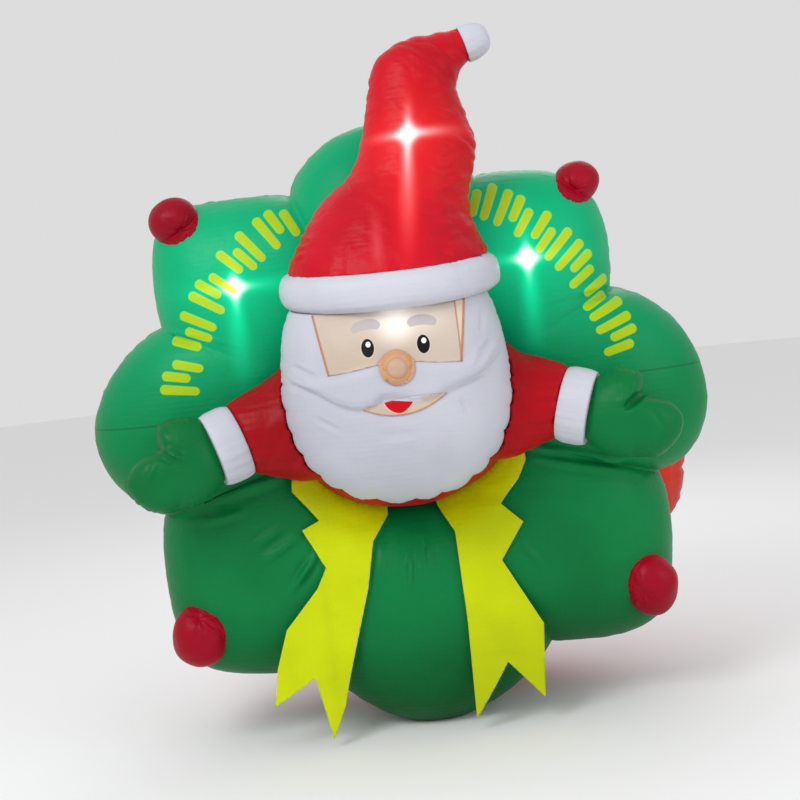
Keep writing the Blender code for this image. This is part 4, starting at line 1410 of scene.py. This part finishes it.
def makeMitten(side, word, material, tree):
    size = figure["height"]
    along, away, up = armFrame(side)
    cuffEnd = sleeveAt(side, 1.0) + along * (coat["cuffLength"] * size + mitten["gap"])
    place = Matrix((along, away, up)).transposed().to_4x4()
    place.translation = cuffEnd + along * mitten["palm"] * size
    inverse = place.inverted()

    def outlineAt(turn):
        reach = aroundThrough(mitten["outline"], math.degrees(turn)) * size
        return reach * math.cos(turn), reach * math.sin(turn)

    folds = (outlineAt(math.radians(mitten["crotch"])) + mitten["crotchFold"], mitten["palmFold"])

    def reliefAt(point, normal):
        x, y, z = inverse @ point
        lines = ripple(math.degrees(math.atan2(z, x)) * 0.135, side * 1.7)
        return hills(point, mitten["hills"]) + seamRelief(y, lines, mitten["seam"]) + foldAt(x, z, folds)

    half = mitten["halfThickness"] * size
    bm = bagMesh(outlineAt, half, half, mitten["fullness"], place, mitten["cuts"])
    pushAlongNormals(bm, reliefAt)
    clearBeyond(bm, cuffEnd, -along)
    pressForward(bm, tree)
    newPiece("blownMitten_" + word, bm, material, "mitten_" + word)


# back of the figure

back = {
    "aside": 0.10, "behind": 0.16, "front": 0.40, "depth": 0.45, "fullness": 0.8, "sink": 0.015, "cuts": 72,
    "hills": ((0.006, 3.7), (0.002, 11)),
    "seam": (0.0035, 0.06, 0.003, 0.006),
    # height and reach of the puckers, and depth of the valley
    "middleSeam": (0.0022, 0.05, 0.004), "waistSeam": (0.002, 0.05, 0.003),
    "seamWidth": 0.006, "waist": -0.02,
    "glowAt": ((0.60, 0.50), (0.085, 0.20)), "glow": 0.22, "glowColour": (1.0, 0.10, 0.0, 1),
    # degrees, and reach in shares of the wreath's radius
    "outline": (
        (-106, 0.817), (-90, 0.825), (-72, 0.817), (-58, 0.717), (-30, 0.850), (-18, 0.910), (-10, 0.985),
        (5, 1.010), (22, 1.0), (42, 0.900), (66, 0.800), (90, 0.767), (134, 0.842), (158, 0.900),
        (180, 0.917), (202, 0.858), (224, 0.750), (240, 0.717),
    ),
}


def backPlace():
    size = wreath["radius"]
    lowest = dict(back["outline"])[-90] * size
    return Vector((back["aside"] * size, wreath["depth"] / 2 + back["behind"] * size, lowest - back["sink"]))


def makeBack(material, trees):
    size = wreath["radius"]
    place = backPlace()

    def outlineAt(turn):
        reach = aroundThrough(back["outline"], math.degrees(turn)) * size
        return reach * math.cos(turn), reach * math.sin(turn)

    # one seam runs round its edge, one down the middle of the back and one round the waist
    def reliefAt(point, normal):
        x, y, z = point - place
        lines = ripple(math.degrees(math.atan2(z, x)) * 0.3, 12.0)
        relief = hills(point, back["hills"]) + seamRelief(y, lines, back["seam"])
        for aside, lines, seam in ((x, ripple(z * 24, 14.0), back["middleSeam"]),
                                   (z - back["waist"], ripple(x * 22, 15.0), back["waistSeam"])):
            height, reach, depth = seam
            relief += height * bell(aside, reach, 1) * lines - depth * bell(aside, back["seamWidth"])
        return relief

    bm = bagMesh(outlineAt, back["front"] * size, back["depth"] * size, back["fullness"],
                 Matrix.Translation(place), back["cuts"])
    pushAlongNormals(bm, reliefAt)
    for vertex in bm.verts:
        vertex.co.z = max(vertex.co.z, 0.0)
    pressBack(bm, trees)
    newPiece("blownBack", bm, material, "figure_back")


def backMaterial():
    web = clothWeb("backNylon", coat["red"], coat["redDeep"], 1.1)
    glow = web.spot(*back["glowAt"], 0.0, 1.0, 0.2)
    glow = web.times(glow, web.ramp(web.x, 0.45, 0.56, 0.0, back["glow"]))
    return finishWeb(web, glow, back["glowColour"])


# ribbons

ribbon = {
    "thickness": 0.0016, "clearance": 0.022, "drop": 0.06, "step": 0.0075,
    "rows": 90, "columns": 40, "bridge": 3, "rayFrom": -1.0,
    "standoff": 0.0085, "mostSunk": 0.0035,
    "hangsBelow": 0.30, "hangsOver": 0.2, "wave": 0.004,
    "tucked": 0.12,                             # share of a step that the cloth ends before the coat
    # across, and down from the top, in shares of the length
    "outlines": {
        "ribbon_left": (
            (-0.411, 0.0), (-0.423, 0.129), (-0.379, 0.189), (-0.342, 0.242), (-0.403, 0.266),
            (-0.335, 0.403), (-0.371, 0.469), (-0.494, 0.602), (-0.542, 0.737), (-0.565, 0.868),
            (-0.415, 0.779), (-0.374, 1.0), (-0.324, 0.897), (-0.295, 0.794), (-0.197, 0.489),
            (-0.163, 0.335), (-0.103, 0.258), (-0.103, 0.129),
        ),
        "ribbon_right": (
            (0.394, 0.0), (0.397, 0.113), (0.363, 0.177), (0.294, 0.256), (0.363, 0.323), (0.274, 0.445),
            (0.394, 0.679), (0.373, 0.942), (0.256, 0.802), (0.127, 0.990), (0.132, 0.632), (0.124, 0.334),
            (0.069, 0.240), (0.069, 0.129),
        ),
    },
    "folds": {
        "ribbon_left": ((-0.20, 0.50, -0.10, 0.46, 0.012, 0.004), (-0.15, 0.56, -0.09, 0.50, 0.010, 0.005),
                        (-0.22, 0.30, -0.17, 0.22, 0.012, 0.003), (-0.25, 0.16, -0.22, 0.10, 0.010, 0.003)),
        "ribbon_right": ((0.10, 0.50, 0.20, 0.50, 0.012, 0.004), (0.09, 0.56, 0.16, 0.49, 0.010, 0.005),
                         (0.10, 0.16, 0.19, 0.15, 0.010, 0.004), (0.12, 0.20, 0.17, 0.13, 0.012, 0.003)),
    },
    "yellow": (0.55, 0.64, 0.0, 1), "yellowDeep": (0.42, 0.49, 0.0, 1),
    # painted shade under the coat at the top, then the colour and strength of a faint painted glow all over
    "shadeUnderCoat": (0.62, 0.35, 0.0, 1), "light": (0.62, 0.72, 0.0, 1), "lightPower": 0.04,
}


# The depths at which cloth hangs on the wreath's front, then straight down from its fullest point.
def hangingDepths(tree, lowX, width, top, length):
    rows, columns, bridge = ribbon["rows"], ribbon["columns"], ribbon["bridge"]
    hung = []
    for column in range(columns + 1):
        x = lowX + width * column / columns
        nearest, run = 0.0, []
        for row in range(rows + 1):
            start = Vector((x, ribbon["rayFrom"], top - length * row / rows))
            point, _, _, _ = tree.ray_cast(start, backwards)
            if point is not None and point.y < 0:
                nearest = min(nearest, point.y) if run else point.y
            run.append(nearest)
        hung.append(run)
    # a stiff cloth bridges small hollows from side to side
    bridged = []
    for column in range(columns + 1):
        near = [hung[min(columns, max(0, column + shift))] for shift in range(-bridge, bridge + 1)]
        bridged.append([min(values) for values in zip(*near)])
    return bridged


# The value between the four nearest of a grid's.
def between(grid, column, row):
    c0, r0 = int(column), int(row)
    fc, fr = column - c0, row - r0
    left = grid[c0][r0] * (1 - fr) + grid[c0][r0 + 1] * fr
    right = grid[c0 + 1][r0] * (1 - fr) + grid[c0 + 1][r0 + 1] * fr
    return left * (1 - fc) + right * fc


# The coat holds the top end, and the cloth starts where it comes out from under it.
def cutAtCoat(bm, flatAt, coatTree):
    within = {vertex for vertex in bm.verts if isInside(coatTree, vertex.co)}
    bmesh.ops.delete(bm, geom=[one for one in bm.faces if within.issuperset(one.verts)], context="FACES")
    for vertex in [vertex for vertex in bm.verts if vertex in within and vertex.link_faces]:
        shares = []
        for other in {other for one in vertex.link_faces for other in one.verts if other not in within}:
            run = vertex.co - other.co
            _, _, _, far = coatTree.ray_cast(other.co, run)
            if far is not None and far < run.length:
                shares.append((far / run.length, other))
        if shares:
            share, other = min(shares, key=lambda item: item[0])
            share = max(0.0, share - ribbon["tucked"])
            vertex.co = other.co.lerp(vertex.co, share)
            flatAt[vertex] = flatAt[other].lerp(flatAt[vertex], share)
    # what hangs on to the lowest corner is kept
    keep, reach = set(), [min(bm.verts, key=lambda vertex: vertex.co.z)]
    while reach:
        vertex = reach.pop()
        if vertex not in keep:
            keep.add(vertex)
            reach += [edge.other_vert(vertex) for edge in vertex.link_edges]
    bmesh.ops.delete(bm, geom=[vertex for vertex in bm.verts if vertex not in keep], context="VERTS")


# Width, length and area of the cloth laid out flat.
def flatSize(bm, flatAt):
    laid = {vertex: vertex.co.copy() for vertex in bm.verts}
    for vertex in bm.verts:
        vertex.co = flatAt[vertex]
    area = sum(one.calc_area() for one in bm.faces)
    sides = []
    for axis in (0, 2):
        values = [vertex.co[axis] for vertex in bm.verts]
        sides.append(max(values) - min(values))
    for vertex, place in laid.items():
        vertex.co = place
    return sides, area


def makeRibbon(name, material, wreathTree, coatTree):
    top = wreath["height"] - ribbon["drop"]
    length = top - ribbon["clearance"]
    outline = [(x * length, top - below * length) for x, below in ribbon["outlines"][name]]
    bm = bmesh.new()
    bm.faces.new([bm.verts.new((x, 0, z)) for x, z in outline])
    lowX = min(x for x, _ in outline)
    width = max(x for x, _ in outline) - lowX
    step, rows, columns = ribbon["step"], ribbon["rows"], ribbon["columns"]
    cutStrips(bm, (0, 0, 1), top, -step, int(length / step))
    cutStrips(bm, (1, 0, 0), lowX, step, int(width / step) + 1)
    flatAt = {vertex: vertex.co.copy() for vertex in bm.verts}
    depths = hangingDepths(wreathTree, lowX, width, top, length)
    for vertex in bm.verts:
        x, z = vertex.co.x, vertex.co.z
        depth = between(depths, min(columns - 1e-6, max(0.0, (x - lowX) / width * columns)),
                        min(rows - 1e-6, max(0.0, (top - z) / length * rows)))
        free = max(0.0, min(1.0, (ribbon["hangsBelow"] - z) / ribbon["hangsOver"]))
        wave = 0.0035 * noise.noise(Vector((x * 9, 0.3, z * 5)))
        wave += 0.0012 * noise.noise(Vector((x * 26, 0.6, z * 22)))
        wave += free * ribbon["wave"] * math.sin(x * 34 + z * 9) - foldAt(x, z, ribbon["folds"][name])
        vertex.co.y = depth - ribbon["standoff"] + min(ribbon["mostSunk"], wave)
    for _ in range(3):
        bmesh.ops.smooth_vert(bm, verts=bm.verts, factor=0.5, use_axis_y=True)
    cutAtCoat(bm, flatAt, coatTree)
    sides, flatArea = flatSize(bm, flatAt)
    thickenForward(bm, ribbon["thickness"])
    pressOff(bm, [coatTree])
    obj = newPiece("hung_" + name, bm, material, name)
    tuple(round(side, 3) for side in sides)


def ribbonMaterial():
    web = clothWeb("ribbonNylon", ribbon["yellow"], ribbon["yellowDeep"], 1.0)
    # painted shade: the top, under the coat, is painted darker and warmer, as in the coat's shade and red light
    web.colour = web.mix(web.ramp(web.z, 0.50, 0.62, 0.0, 0.35), web.colour, ribbon["shadeUnderCoat"])
    web.shader.inputs["Emission Color"].default_value = ribbon["light"]
    web.shader.inputs["Emission Strength"].default_value = ribbon["lightPower"]
    return finishWeb(web)


# everything together

def main():
    makeCamera()
    makeStage()
    print("stage ready")
    ringTree = treeOf(makeWreath(wreathMaterial()))
    print("wreath ready")
    berryRed = finishWeb(clothWeb("berryNylon", berry["red"], berry["redDeep"], 1.0))
    for name in berries:
        makeBerry(name, berryRed, ringTree)
    white = finishWeb(clothWeb("whiteNylon", head["white"], head["whiteDeep"], 0.8))
    headTree = treeOf(makeHead(white, ringTree))
    outline = list(face["edge"]) + [(-x, z) for x, z in face["edge"][::-1]]
    layPanel("facePanel", outline, headTree, face["proud"], faceMaterial(), "face_panel")
    layPanel("mouthPanel", mouthOutline(), headTree, mouth["proud"], mouthMaterial(), "mouth_panel")
    makeNose(noseMaterial(), headTree)
    print("head ready")
    makeBrim(white, ringTree)
    makeHat(hatMaterial(), ringTree)
    makeHatTip(white)
    print("hat ready")
    red = finishWeb(clothWeb("coatNylon", coat["red"], coat["redDeep"], 1.1))
    coatTree = treeOf(makeCoat(red, ringTree, headTree))
    mittenGreen = finishWeb(clothWeb("mittenNylon", mitten["green"], mitten["greenDeep"], 1.0))
    for side, word in ((-1, "left"), (1, "right")):
        makeCuff(side, word, white, ringTree)
        makeMitten(side, word, mittenGreen, ringTree)
    print("coat and hands ready")
    makeBack(backMaterial(), [ringTree, coatTree])
    yellow = ribbonMaterial()
    for name in ribbon["outlines"]:
        makeRibbon(name, yellow, ringTree, coatTree)
    print("ribbons and back ready")


main()
